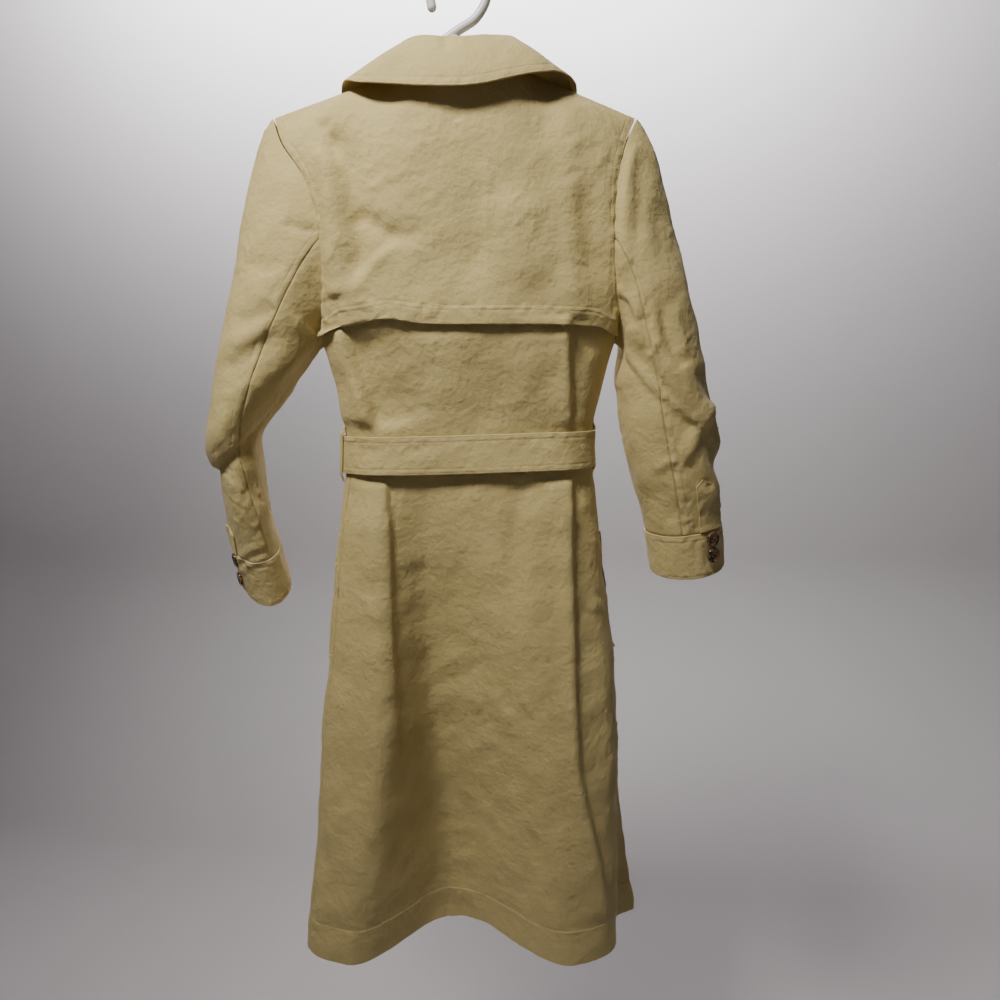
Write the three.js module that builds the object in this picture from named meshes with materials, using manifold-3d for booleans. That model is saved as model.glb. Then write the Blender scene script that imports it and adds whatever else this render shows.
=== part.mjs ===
// Trench coat hanging on a plastic hanger, shaped as it hangs with its back towards -Y
// Millimetres, +Z up, origin at the inner top of the hanger's hook, where a rail or peg holds it

import * as THREE from 'three';
import Module from 'manifold-3d';
import { mergeVertices } from 'three/addons/utils/BufferGeometryUtils.js';

const { Vector3, CatmullRomCurve3, MeshStandardMaterial } = THREE;
const wasm = await Module();
wasm.setup();

// Driving sizes
const WALL = 1.6;                 // cloth wall
const GAP = 0.3;                  // space between pieces at a seam
const ARMPIT_Z = -382;            // height of the armholes' lowest point
const BELT_TOP = -482;
const BELT_BOTTOM = -529;
const HEM_Z = -1138;
const BUTTON_RADIUS = 11;         // coat buttons
const CUFF_BUTTON_RADIUS = 9;
const BUTTON_THICK = 3.4;
const TUBE_RADIUS = 5;            // hanger tube
const HOOK_RADIUS = 30;           // hook's centre line

// Grid steps
const BACK_COLUMNS = 30;
const FRONT_COLUMNS = 13;
const LOFT_ROWS = 9;
const SLEEVE_COLUMNS = 24;
const CUFF_START = 5;              // rows of the sleeve tables where the cuff starts and ends
const CUFF_END = 6;
const CUFF_THICK = 2.4;
const ROW_LEAN = 0.85;

// Rows of a table by the names of its columns
const named = (columns, rows) => rows.map((row) => (
  Object.fromEntries(columns.map((name, k) => [name, row[k]]))
));

// Plan of the body at each height: its sides, how far the back and the front stand out, the
// roundness of its corners, then the hollow between the two back folds (depth, middle, reach to
// the left and right), how far the front spreads at the right, and the ridges along the folds
const PLAN = named(
  ['z', 'left', 'right', 'sideY', 'back', 'front', 'round', 'dip', 'dipX', 'dipL', 'dipR', 'flare', 'ridgeL',
    'ridgeR', 'ridge'],
  [
    [-382, -151, 174, -4, -57, 46, 2.5, 0, 0, 70, 90, 0, -118, 124, 5],
    [-430, -140, 160, -2, -50, 42, 2.5, 0, -10, 70, 90, 0, -106, 124, 6],
    [-482, -134, 150, 0, -43, 36, 2.7, 2, -30, 62, 95, 0, -99, 124, 3],
    [-529, -136, 152, 2, -43, 37, 2.7, 6, -32, 58, 100, 0, -99, 124, 3],
    [-600, -147, 161, 5, -48, 43, 2.7, 18, -36, 54, 112, 0, -98, 126, 5],
    [-690, -156, 174, 8, -52, 49, 2.8, 34, -38, 52, 124, 2, -99, 129, 5],
    [-823, -174, 188, 12, -55, 54, 3.0, 56, -34, 58, 142, 6, -102, 135, 4],
    [-960, -187, 192, 14, -57, 57, 3.3, 75, -27, 84, 152, 30, -118, 148, 2],
    [-1138, -204, 195, 14, -59, 61, 3.6, 94, -15, 132, 155, 62, -148, 165, 1],
  ],
);

// Armholes from the shoulder tip down to the side seam
const ARMHOLE = [
  { t: 0, left: -200, right: 190, back: 0, front: 0, z: -147 },
  { t: 0.16, left: -187, right: 177, back: -17, front: 14, z: -178 },
  { t: 0.33, left: -163, right: 168, back: -31, front: 26, z: -213 },
  { t: 0.5, left: -148, right: 164, back: -38, front: 33, z: -254 },
  { t: 0.67, left: -143, right: 165, back: -39, front: 35, z: -298 },
  { t: 0.84, left: -145, right: 168, back: -30, front: 27, z: -344 },
  { t: 1, left: -151, right: 174, back: -4, front: -4, z: -382 },
];

// Sleeves below the armholes: middle of the tube, half sizes, turn of the flattened tube in
// degrees, and how far the ring rises at its front
const SLEEVE_RIGHT = [
  { x: 226, y: -4, z: -425, wide: 51, deep: 55, turn: 0, tilt: 0 },
  { x: 237, y: -4, z: -480, wide: 53, deep: 54, turn: 0, tilt: 0 },
  { x: 248, y: -3, z: -532, wide: 49, deep: 51, turn: 0, tilt: 0 },
  { x: 255, y: -1, z: -566, wide: 46, deep: 48, turn: 0, tilt: 0 },
  { x: 260, y: 0, z: -593, wide: 44, deep: 46, turn: 0, tilt: 2 },
  { x: 267, y: 2, z: -643, wide: 41, deep: 44, turn: 0, tilt: 4 },
];
const SLEEVE_LEFT = [
  { x: -231, y: -4, z: -420, wide: 45, deep: 56, turn: 0, tilt: 0 },
  { x: -258, y: 2, z: -478, wide: 30, deep: 60, turn: 10, tilt: 0 },
  { x: -261, y: 8, z: -530, wide: 27, deep: 58, turn: 18, tilt: 3 },
  { x: -257, y: 14, z: -580, wide: 26, deep: 54, turn: 24, tilt: 8 },
  { x: -252, y: 19, z: -614, wide: 27, deep: 49, turn: 27, tilt: 15 },
  { x: -244, y: 26, z: -664, wide: 28, deep: 46, turn: 28, tilt: 22 },
];

// The fold across each elbow: where it starts at the inner side, how steeply it falls outwards
const ELBOW_FOLD = {
  1: { x: 188, z: -382, fall: 1.2, proud: 4, deep: 5 },
  [-1]: { x: -158, z: -388, fall: 1.04, proud: 4, deep: 5 },
};

// Neck, collar and front edges
const NECK_LEFT = new Vector3(-70, 0, -104);
const NECK_RIGHT = new Vector3(76, 0, -103);
const NECK_BACK = new Vector3(4, -42, -108);
const BREAK_Z = -342;             // where the fronts start to turn back as lapels
const OVERLAP = 76;               // how far each front passes the middle
const MIDDLE_X = 6;
const RIDGE_WIDTH = 15;
const CHEST_DEPTH = 49;           // at CHEST_Z and above
const CHEST_Z = -290;

// Finishes
const finish = (color, roughness) => new MeshStandardMaterial({ color, roughness, metalness: 0 });
const CLOTH = finish(0xbcae84, 0.85);
const SHELL_PLASTIC = finish(0x5b4026, 0.3);
const HANGER_PLASTIC = finish(0xf4f1ea, 0.35);

// Curve through the rows of a table, read by the value of one column
function tableValue(table, key, name, at) {
  const rows = table[0][key] > table[1][key] ? [...table].reverse() : table;
  const last = rows.length - 1;
  const x = Math.min(Math.max(at, rows[0][key]), rows[last][key]);
  let k = 0;
  while (k < last - 1 && x > rows[k + 1][key]) k += 1;
  const slope = (i) => {
    const a = Math.max(i - 1, 0);
    const b = Math.min(i + 1, last);
    return (rows[b][name] - rows[a][name]) / (rows[b][key] - rows[a][key]);
  };
  const span = rows[k + 1][key] - rows[k][key];
  const s = (x - rows[k][key]) / span;
  return hermite(s, rows[k][name], rows[k + 1][name], slope(k) * span, slope(k + 1) * span);
}

function hermite(s, a, b, slopeA, slopeB) {
  const s2 = s * s;
  const s3 = s2 * s;
  const places = (2 * s3 - 3 * s2 + 1) * a + (3 * s2 - 2 * s3) * b;
  return places + (s3 - 2 * s2 + s) * slopeA + (s3 - s2) * slopeB;
}

const clamp = (x, low = 0, high = 1) => Math.min(Math.max(x, low), high);
const smooth = (x) => clamp(x) ** 2 * (3 - 2 * clamp(x));
const mix = (a, b, s) => a + (b - a) * s;

// Body's plan at a height as a curve of even steps: u is 0 at the middle of the back, 0.25 at the
// right side, 0.5 at the middle of the front and -0.25 at the left side
const planCache = new Map();
const PLAN_PARTS = [[-0.5, -0.25], [-0.25, 0.25], [0.25, 0.5]];
const PLAN_STEPS = 160;

function planPoint(z, angle) {
  const size = (name) => tableValue(PLAN, 'z', name, z);
  const middle = (size('left') + size('right')) / 2;
  const half = (size('right') - size('left')) / 2;
  const power = 2 / size('round');
  const s = Math.sin(angle);
  const c = Math.cos(angle);
  const depth = c > 0 ? size('back') - size('sideY') : size('front') - size('sideY');
  let x = middle + half * Math.sign(s) * Math.abs(s) ** power;
  let y = size('sideY') + depth * Math.abs(c) ** power;
  if (c < 0) x += size('flare') * smooth(Math.abs(c) * 1.4) * smooth((x - middle) / half);
  if (c > 0) {
    const reach = x < size('dipX') ? size('dipL') : size('dipR');
    y += size('dip') * Math.cos(clamp(Math.abs(x - size('dipX')) / reach) * Math.PI / 2) ** 2;
    const ridge = (at) => Math.exp(-(((x - at) / RIDGE_WIDTH) ** 2));
    y -= size('ridge') * c * (ridge(size('ridgeL')) + ridge(size('ridgeR')));
  }
  return new Vector3(x, y, z);
}

function planCurve(z) {
  const key = z.toFixed(2);
  if (planCache.has(key)) return planCache.get(key);
  const parts = PLAN_PARTS.map(([from, to]) => {
    const points = [];
    const length = [0];
    for (let i = 0; i <= PLAN_STEPS; i += 1) {
      points.push(planPoint(z, mix(from, to, i / PLAN_STEPS) * 2 * Math.PI));
      if (i) length.push(length[i - 1] + points[i].distanceTo(points[i - 1]));
    }
    return { from, to, points, length };
  });
  planCache.set(key, parts);
  return parts;
}

function body(u, z) {
  let turn = u;
  if (turn > 0.5) turn -= 1;
  if (turn < -0.5) turn += 1;
  const part = planCurve(z).find((p) => turn >= p.from - 1e-9 && turn <= p.to + 1e-9);
  const goal = clamp((turn - part.from) / (part.to - part.from)) * part.length.at(-1);
  let k = 0;
  while (k < part.length.length - 2 && part.length[k + 1] < goal) k += 1;
  const s = (goal - part.length[k]) / (part.length[k + 1] - part.length[k]);
  return part.points[k].clone().lerp(part.points[k + 1], s);
}

// Armhole edge of a side (1 right, -1 left) and face (-1 back, 1 front)
function armholeEdge(side, face, t) {
  const value = (name) => tableValue(ARMHOLE, 't', name, t);
  return new Vector3(value(side > 0 ? 'right' : 'left'), value(face < 0 ? 'back' : 'front'), value('z'));
}

// Shoulder seam and back neck, s from -1 at the left shoulder tip to 1 at the right one
const NECK_AT = 0.4;

function backTopEdge(s) {
  const side = Math.sign(s) || 1;
  const neck = side > 0 ? NECK_RIGHT : NECK_LEFT;
  const out = Math.abs(s);
  if (out >= NECK_AT) return neck.clone().lerp(armholeEdge(side, -1, 0), (out - NECK_AT) / (1 - NECK_AT));
  const a = out / NECK_AT;
  const point = NECK_BACK.clone().lerp(neck, a);
  point.y = NECK_BACK.y * Math.sqrt(1 - a ** 2.4);
  point.z = mix(NECK_BACK.z, neck.z, a ** 2);
  return point;
}

// Loft from a top edge down to the plan at armpit height, t from 0 to 1. Under the top edge it
// rounds out quickly to the depth of the plan
const ROUND_OUT = 5;

function loft(top, bottom, t, edge) {
  const drop = (top.z - bottom.z) / 235;
  return new Vector3(
    hermite(t, top.x, bottom.x, 0, 0),
    mix(bottom.y, top.y, (1 - t) ** ROUND_OUT),
    hermite(t, top.z, bottom.z, -mix(200, 60, edge) * drop, -235 * drop),
  );
}

// Upper back between the shoulders and the armpits
function upperBack(s, t) {
  const side = Math.sign(s) || 1;
  const surface = (a) => loft(backTopEdge(a), body(a * 0.25, ARMPIT_Z), t, Math.abs(a));
  const miss = armholeEdge(side, -1, t).sub(surface(side));
  return surface(s).add(miss.multiplyScalar(Math.abs(s) ** 5));
}

// Side seam: at the armpit on each side, swung to the back below the waist on the left
const seamTurn = (side, z) => side * (side > 0 ? 0.25 : 0.25 - 0.04 * smooth((-420 - z) / 120));

// Height for a row value v: 0 to 1 is the loft, 1 to 2 the body down to the hem
const rowHeight = (v) => mix(ARMPIT_Z, HEM_Z, v - 1);

function backPoint(s, v) {
  if (v <= 1) return upperBack(s, v);
  const z = rowHeight(v);
  return body(mix(seamTurn(-1, z), seamTurn(1, z), (s + 1) / 2), z);
}

// Front edges: the roll line from the neck to the break, then straight down past the middle
const FRONT_NECK_AT = 0.34;

function turnAtX(side, x, z) {
  let low = 0.25;
  let high = 0.75;
  for (let k = 0; k < 30; k += 1) {
    const turn = (low + high) / 2;
    const passed = side * (body(side * turn, z).x - x) < 0;
    if (passed) high = turn;
    else low = turn;
  }
  return side * (low + high) / 2;
}

// How far the chest stands out at a place: rounded under the shoulder, and the plan at the armpit
function chestDepth(x, z) {
  const neck = x > MIDDLE_X ? NECK_RIGHT : NECK_LEFT;
  const tip = armholeEdge(Math.sign(x - MIDDLE_X) || 1, 1, 0);
  const below = mix(neck.z, tip.z, clamp((x - neck.x) / (tip.x - neck.x))) - z;
  const plan = PLAN[0];
  const off = clamp(Math.abs(2 * x - plan.left - plan.right) / (plan.right - plan.left));
  const armpit = plan.sideY + (plan.front - plan.sideY) * (1 - off ** plan.round) ** (1 / plan.round);
  const lower = smooth((CHEST_Z - z) / (CHEST_Z - ARMPIT_Z));
  const rounding = 1 - Math.exp(-((Math.max(below, 0) / 48) ** 0.8));
  return mix(CHEST_DEPTH, armpit, lower) * mix(rounding, 1, lower);
}

function frontTopEdge(side, s) {
  const neck = side > 0 ? NECK_RIGHT : NECK_LEFT;
  const tip = armholeEdge(side, 1, 0);
  if (s <= FRONT_NECK_AT) return tip.lerp(neck, s / FRONT_NECK_AT);
  const a = (s - FRONT_NECK_AT) / (1 - FRONT_NECK_AT);
  const x = mix(neck.x, MIDDLE_X - side * OVERLAP, a);
  const z = mix(neck.z, BREAK_Z, a);
  return new Vector3(x, chestDepth(x, z), z);
}

function frontPoint(side, s, v) {
  const z = v <= 1 ? ARMPIT_Z : rowHeight(v);
  const from = seamTurn(side, z);
  const to = turnAtX(side, MIDDLE_X - side * OVERLAP, z);
  const bottom = body(mix(from, to, s), z);
  if (v > 1) return bottom;
  const surface = (a) => {
    const point = loft(frontTopEdge(side, a), body(mix(from, to, a), ARMPIT_Z), v, 1 - a);
    point.y = chestDepth(point.x, point.z);
    return point;
  };
  const miss = armholeEdge(side, 1, v).sub(surface(0));
  return surface(s).add(miss.multiplyScalar((1 - s) ** 9));
}

// Sleeve: w is 0 at the outer side, 0.25 at the back, 0.5 next to the body, 0.75 at the front
function sleeveRing(side, k, w) {
  const table = side > 0 ? SLEEVE_RIGHT : SLEEVE_LEFT;
  const value = (name, at) => tableValue(table.map((row, i) => ({ ...row, i })), 'i', name, at);
  const middle = (at) => new Vector3(value('x', at), value('y', at), value('z', at));
  const axis = middle(Math.min(k + 0.2, table.length - 1)).sub(middle(Math.max(k - 0.2, 0))).normalize();
  const outward = new Vector3(side, 0, 0).projectOnPlane(axis).normalize();
  const back = new Vector3(0, -1, 0).projectOnPlane(axis).normalize();
  const turn = value('turn', k) * Math.PI / 180;
  const wide = outward.clone().multiplyScalar(Math.cos(turn)).addScaledVector(back, Math.sin(turn));
  const deep = back.clone().multiplyScalar(Math.cos(turn)).addScaledVector(outward, -Math.sin(turn));
  const angle = w * 2 * Math.PI;
  return middle(k)
    .addScaledVector(wide, value('wide', k) * Math.cos(angle))
    .addScaledVector(deep, value('deep', k) * Math.sin(angle))
    .add(new Vector3(0, 0, -value('tilt', k) * Math.sin(angle)));
}

function armholeLoop(side, w) {
  const point = w <= 0.5 ? armholeEdge(side, -1, w * 2) : armholeEdge(side, 1, 2 - w * 2);
  point.x += side * (GAP + 0.45);
  return point;
}

// row runs from 0 at the armhole through 1 at the first ring to the cuff's end, and the rows lean
// along the elbow's fold, lower at the outer side
function sleevePoint(side, w, row) {
  const lean = ROW_LEAN * Math.cos(w * 2 * Math.PI) * Math.sin(Math.PI * Math.min(row / CUFF_START, 1));
  const r = row + lean;
  let point;
  if (r < 1) {
    const top = armholeLoop(side, w);
    const first = sleeveRing(side, 0, w);
    const above = (1 + Math.cos(w * 2 * Math.PI)) / 2;
    const facing = Math.sin(w * 2 * Math.PI);
    const start = new Vector3(side * mix(60, 95, above), -facing * 60, mix(-60, -110, above));
    const end = new Vector3(side * mix(20, 45, above), 0, mix(-40, -200, above));
    point = new Vector3(
      hermite(r, top.x, first.x, start.x, end.x),
      hermite(r, top.y, first.y, start.y, end.y),
      hermite(r, top.z, first.z, start.z, end.z),
    );
  } else {
    point = sleeveRing(side, r - 1, w);
  }
  const fold = ELBOW_FOLD[side];
  const past = point.z - (fold.z - side * (point.x - fold.x) * fold.fall);
  const ring = (turn) => sleeveRing(side, Math.max(r - 1, 0), turn);
  const middle = ring(0).lerp(ring(0.5), 0.5);
  const outward = new Vector3(point.x - middle.x, point.y - middle.y, 0).normalize();
  const crest = fold.proud * Math.exp(-(((past - 16) / 20) ** 2));
  const crease = fold.deep * Math.exp(-(((past + 12) / 17) ** 2));
  return point.addScaledVector(outward, (crest - crease) * smooth((r - 0.3) * 2));
}

// Closed cloth wall from rows of points. Its outer side is moved out by lift, every free edge is
// drawn back by half the seam gap, and hand is 1 where the columns run right-handed when seen
// from above. past gives the run across a side edge, or the point above the top one, that this
// piece shares with its neighbour, so that both walls lean alike
function clothWall(rows, { lift = () => 0, thick = WALL, loop = false, hand = 1, past = () => null } = {}) {
  const last = rows.length - 1;
  const columns = rows[0].length;
  const inset = (from, to) => from.clone().addScaledVector(to.clone().sub(from).normalize(), GAP / 2);
  const grid = rows.map((row) => row.map((p) => p.clone()));
  if (!loop) {
    rows.forEach((row, j) => {
      grid[j][0] = inset(row[0], row[1]);
      grid[j][columns - 1] = inset(row[columns - 1], row[columns - 2]);
    });
  }
  for (let i = 0; i < columns; i += 1) {
    grid[0][i] = inset(grid[0][i], rows[1][i]);
    grid[last][i] = inset(grid[last][i], rows[last - 1][i]);
  }
  const cell = (j, i) => {
    if (loop) return rows[clamp(j, 0, last)][(i + columns) % columns];
    return (j < 0 && past(j, i)) || rows[clamp(j, 0, last)][clamp(i, 0, columns - 1)];
  };
  const outer = [];
  const inner = [];
  grid.forEach((row, j) => row.forEach((point, i) => {
    const onEdge = !loop && (i === 0 || i === columns - 1);
    const across = (onEdge && past(j, i)) || cell(j, i + 1).clone().sub(cell(j, i - 1));
    const down = cell(j + 1, i).clone().sub(cell(j - 1, i));
    const normal = down.cross(across).multiplyScalar(hand).normalize();
    const raised = lift(i / (columns - (loop ? 0 : 1)), j / last);
    outer.push(point.clone().addScaledVector(normal, raised));
    inner.push(point.clone().addScaledVector(normal, raised - thick));
  }));
  return closedShell(outer, inner, columns, last + 1, loop);
}

function closedShell(outer, inner, columns, count, loop) {
  const points = [...outer, ...inner];
  const faces = [];
  const quad = (a, b, c, d) => faces.push(a, b, c, a, c, d);
  const at = (j, i) => j * columns + (i % columns);
  const behind = outer.length;
  const wide = loop ? columns : columns - 1;
  for (let j = 0; j < count - 1; j += 1) {
    for (let i = 0; i < wide; i += 1) {
      quad(at(j, i), at(j + 1, i), at(j + 1, i + 1), at(j, i + 1));
      quad(behind + at(j, i), behind + at(j, i + 1), behind + at(j + 1, i + 1), behind + at(j + 1, i));
    }
  }
  const rim = [];
  for (let i = 0; i < wide; i += 1) {
    rim.push([at(0, i + 1), at(0, i)], [at(count - 1, i), at(count - 1, i + 1)]);
  }
  if (!loop) {
    for (let j = 0; j < count - 1; j += 1) {
      rim.push([at(j, 0), at(j + 1, 0)]);
      const [a, b] = [at(j + 1, columns - 1), at(j, columns - 1)];
      quad(a, behind + a, behind + b, b);
    }
  }
  rim.forEach(([a, b]) => quad(b, a, behind + a, behind + b));
  const geometry = new THREE.BufferGeometry();
  const coordinates = points.flatMap((p) => p.toArray());
  geometry.setAttribute('position', new THREE.Float32BufferAttribute(coordinates, 3));
  geometry.setIndex(signedVolume(points, faces) < 0 ? faces.reverse() : faces);
  return geometry;
}

function signedVolume(points, faces) {
  let total = 0;
  for (let k = 0; k < faces.length; k += 3) {
    const [a, b, c] = [points[faces[k]], points[faces[k + 1]], points[faces[k + 2]]];
    total += a.dot(b.clone().cross(c));
  }
  return total / 6;
}

// Rows of points from a function of a column value and a row value
const steps = (from, to, count) => Array.from({ length: count + 1 }, (_, k) => mix(from, to, k / count));
const pointRows = (columns, rows, point) => rows.map((v) => columns.map((s) => point(s, v)));

const sides = [{ side: 1, name: 'right' }, { side: -1, name: 'left' }];
const coat = new THREE.Group();

function add(name, geometry, material = CLOTH) {
  const mesh = new THREE.Mesh(geometry, material);
  mesh.name = name;
  coat.add(mesh);
}

// Rows of the body: the loft, then heights that follow the plan
const BODY_HEIGHTS = [
  -430, BELT_TOP, BELT_BOTTOM, -562, -600, -645, -690, -735, -780,
  -823, -868, -914, -960, -1005, -1050, -1098, HEM_Z,
];
const loftRows = steps(0, 1, LOFT_ROWS);
const bodyRows = [...loftRows, ...BODY_HEIGHTS.map((z) => 1 + (z - ARMPIT_Z) / (HEM_Z - ARMPIT_Z))];
const backColumns = steps(-1, 1, BACK_COLUMNS);

// What the body pieces share at the side seams and at the shoulder seams
function sharedAtSeams(rows, side, count) {
  return (j, i) => {
    if (j < 0) {
      const across = side === 0 ? Math.abs(2 * i / (count - 1) - 1) : 1 - i / (count - 1);
      const onShoulder = across > (side === 0 ? NECK_AT : 1 - FRONT_NECK_AT) - 0.02;
      return onShoulder ? new Vector3(rows[1][i].x, 2 * rows[0][i].y - rows[1][i].y, rows[1][i].z) : null;
    }
    const onFrontEdge = side !== 0 && i > 0;
    if (bodyRows[j] < 1 || onFrontEdge) return null;
    const edge = side === 0 ? Math.sign(i - 0.5) : side;
    const z = rowHeight(Math.max(bodyRows[j], 1));
    const turn = seamTurn(edge, z);
    return body(turn + 0.012, z).sub(body(turn - 0.012, z)).multiplyScalar(side || 1);
  };
}

const backRows = pointRows(backColumns, bodyRows, backPoint);
add('back_body', clothWall(backRows, { past: sharedAtSeams(backRows, 0, backColumns.length) }));

// Storm flap over the upper back, its hem highest left of the middle and lowest at the armholes
function flapHem(s) {
  const corner = 0.034 * smooth((Math.abs(s) - 0.8) / 0.2);
  const notch = 0.02 * Math.exp(-(((s + 0.52) / 0.16) ** 2));
  return 0.945 + corner - notch;
}

const flapReach = (v) => 0.988 - 0.022 * smooth(v * 2) - 0.07 * smooth((v - 0.6) / 0.35);
const flapRows = steps(0, LOFT_ROWS - 1, LOFT_ROWS - 1).map((k) => k / LOFT_ROWS);
const flapStand = (column, row) => WALL + 0.9 + 3 * smooth((row - 0.75) * 4);
add('back_storm_flap', clothWall(
  pointRows(backColumns, [...flapRows, 1], (s, v) => backPoint(s * flapReach(v), v < 1 ? v : flapHem(s))),
  { lift: flapStand },
));

// Fronts, the right one over the left one
const frontColumns = steps(0, 1, FRONT_COLUMNS);
const UNDER = WALL + 1.2;
const sink = (side, column) => (side > 0 ? 0 : UNDER * smooth(column * 7));
sides.forEach(({ side, name }) => {
  const rows = pointRows(frontColumns, bodyRows, (s, v) => frontPoint(side, s, v));
  const past = sharedAtSeams(rows, side, frontColumns.length);
  add(`front_${name}`, clothWall(rows, { hand: side, lift: (column) => -sink(side, column), past }));
});

// Sleeves in an upper and an under piece, their seams at the back and next to the body
const SEAM_BACK = 0.29;
const SEAM_INNER = 0.56;
const sleeveRows = [...steps(0, 1, 7), ...steps(1, 5, 9).slice(1)];

sides.forEach(({ side, name }) => {
  const under = steps(SEAM_BACK, SEAM_INNER, 7);
  const upper = steps(SEAM_INNER, SEAM_BACK + 1, SLEEVE_COLUMNS - 7);
  const point = (w, r) => sleevePoint(side, ((w % 1) + 1) % 1, r);
  const piece = (columns) => {
    const past = (j, i) => {
      if (j < 0) return null;
      const w = i === 0 ? columns[0] : columns.at(-1);
      return point(w + 0.02, sleeveRows[j]).sub(point(w - 0.02, sleeveRows[j]));
    };
    return clothWall(pointRows(columns, sleeveRows, point), { hand: -side, past });
  };
  add(`sleeve_${name}_under`, piece(under));
  add(`sleeve_${name}_upper`, piece(upper));
  const around = steps(0, 1, SLEEVE_COLUMNS).slice(0, -1);
  const cuffRows = pointRows(around, steps(CUFF_START, CUFF_END, 2), point);
  const wall = { hand: -side, loop: true, lift: () => CUFF_THICK / 2, thick: CUFF_THICK };
  add(`cuff_${name}`, clothWall(cuffRows, wall));
});

// A strip along the plan of the body: turns from one to another, heights from top to bottom
function bodyStrip(turns, heights, lift, thick = WALL) {
  const point = (u, z) => body(u, typeof z === 'function' ? z(u) : z);
  return clothWall(pointRows(turns, heights, point), { lift, thick });
}

// Belt round the waist, open under its own end at the front, and lower on the left
const BELT_THICK = 2.4;
const BELT_LIFT = 1.9 + BELT_THICK;
const beltEdge = (z) => (u) => z + 3.3 * Math.sin(2 * Math.PI * u);
const beltHeights = [BELT_TOP - 2, (BELT_TOP + BELT_BOTTOM) / 2, BELT_BOTTOM + 2].map(beltEdge);
add('belt', bodyStrip(steps(-0.47, 0.47, 54), beltHeights, () => BELT_LIFT, BELT_THICK));

const BELT_END_LIFT = BELT_LIFT + BELT_THICK + 0.5;
const BELT_END_FROM = 0.49;
const BELT_END_TO = 0.69;
const beltEndTurns = steps(BELT_END_FROM, BELT_END_TO, 12);
add('belt_end', bodyStrip(beltEndTurns, beltHeights, () => BELT_END_LIFT, BELT_THICK));

// Loops that hold the belt: sewn down above and below it, clear of it between
const LOOP_WIDTH = 11;
const LOOP_LEFT_AT = -0.232;
const LOOP_RIGHT_AT = 0.268;
const KEEPER_AT = 0.58;
const KEEPER_WIDTH = 14;
const WAIST_GIRTH = 620;
const LOOP_ROWS = [
  { z: BELT_TOP + 9, lift: 2.1 },
  { z: BELT_TOP + 4, lift: 3.8 },
  { z: BELT_TOP, lift: BELT_LIFT + 2.1 },
  { z: BELT_BOTTOM, lift: BELT_LIFT + 2.1 },
  { z: BELT_BOTTOM - 4, lift: 3.8 },
  { z: BELT_BOTTOM - 9, lift: 2.1 },
];
const loopTurns = (middle, width = LOOP_WIDTH) => {
  const half = width / 2 / WAIST_GIRTH;
  return steps(middle - half, middle + half, 2);
};
const loopLift = (column, row) => LOOP_ROWS[Math.round(row * (LOOP_ROWS.length - 1))].lift;
const loopEdges = (middle) => LOOP_ROWS.map((row) => beltEdge(row.z)(middle));
add('belt_loop_left', bodyStrip(loopTurns(LOOP_LEFT_AT), loopEdges(LOOP_LEFT_AT), loopLift));
add('belt_loop_right', bodyStrip(loopTurns(LOOP_RIGHT_AT), loopEdges(LOOP_RIGHT_AT), loopLift));
const keeperHeights = [BELT_TOP - 1, BELT_BOTTOM + 1].map(beltEdge);
const keeperTurns = loopTurns(KEEPER_AT, KEEPER_WIDTH);
add('belt_keeper', bodyStrip(keeperTurns, keeperHeights, () => BELT_END_LIFT + 2.1));

// Point on the body's front with the way out of it
function frontSeat(x, z) {
  const turn = turnAtX(1, x, z);
  const point = body(turn, z);
  const across = body(turn + 0.01, z).sub(body(turn - 0.01, z));
  const up = body(turn, z + BUTTON_RADIUS).sub(body(turn, z - BUTTON_RADIUS));
  const out = across.cross(up).normalize();
  return { point, out };
}

function place(geometry, { point, out }, lift) {
  const turned = new THREE.Quaternion().setFromUnitVectors(new Vector3(0, 0, 1), out);
  geometry.applyQuaternion(turned);
  geometry.translate(...point.clone().addScaledVector(out, lift).toArray());
  return geometry;
}

// Buckle: a flat frame with a middle bar and a prong, standing on the belt's end
const BUCKLE = { wide: 60, tall: 64, rim: 7, bar: 5, prong: 4, thick: 4 };

function rectangle(shape, left, bottom, right, top) {
  shape.moveTo(left, bottom);
  shape.lineTo(right, bottom);
  shape.lineTo(right, top);
  shape.lineTo(left, top);
  return shape;
}

function buckle() {
  const { wide, tall, rim, bar, prong, thick } = BUCKLE;
  const shape = rectangle(new THREE.Shape(), -wide / 2, -tall / 2, wide / 2, tall / 2);
  const inside = wide / 2 - rim;
  const top = tall / 2 - rim;
  const leftTop = top - 1.5;
  shape.holes.push(rectangle(new THREE.Path(), -inside, -leftTop, -bar / 2, leftTop));
  shape.holes.push(rectangle(new THREE.Path(), bar / 2, -top, inside, -prong / 2));
  shape.holes.push(rectangle(new THREE.Path(), bar / 2, prong / 2, inside, top));
  const geometry = new THREE.ExtrudeGeometry(shape, { depth: thick, bevelEnabled: false });
  geometry.rotateX(Math.PI / 2);
  geometry.rotateZ(Math.PI);
  const seat = frontSeat(MIDDLE_X, (BELT_TOP + BELT_BOTTOM) / 2);
  geometry.translate(seat.point.x, seat.point.y + BELT_END_LIFT + 1.1, (BELT_TOP + BELT_BOTTOM) / 2);
  return geometry;
}
add('buckle', buckle(), SHELL_PLASTIC);

// Buttons: a disc with a raised rim
function button(radius, seat, lift) {
  const rise = BUTTON_THICK;
  const rim = [[0, 0], [radius, 0], [radius, rise * 0.75], [radius * 0.86, rise]];
  const profile = [...rim, [radius * 0.62, rise * 0.6], [0, rise * 0.6]];
  const geometry = new THREE.LatheGeometry(profile.map(([x, y]) => new THREE.Vector2(x, y)), 12);
  geometry.rotateX(Math.PI / 2);
  return place(geometry, seat, lift);
}

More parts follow.
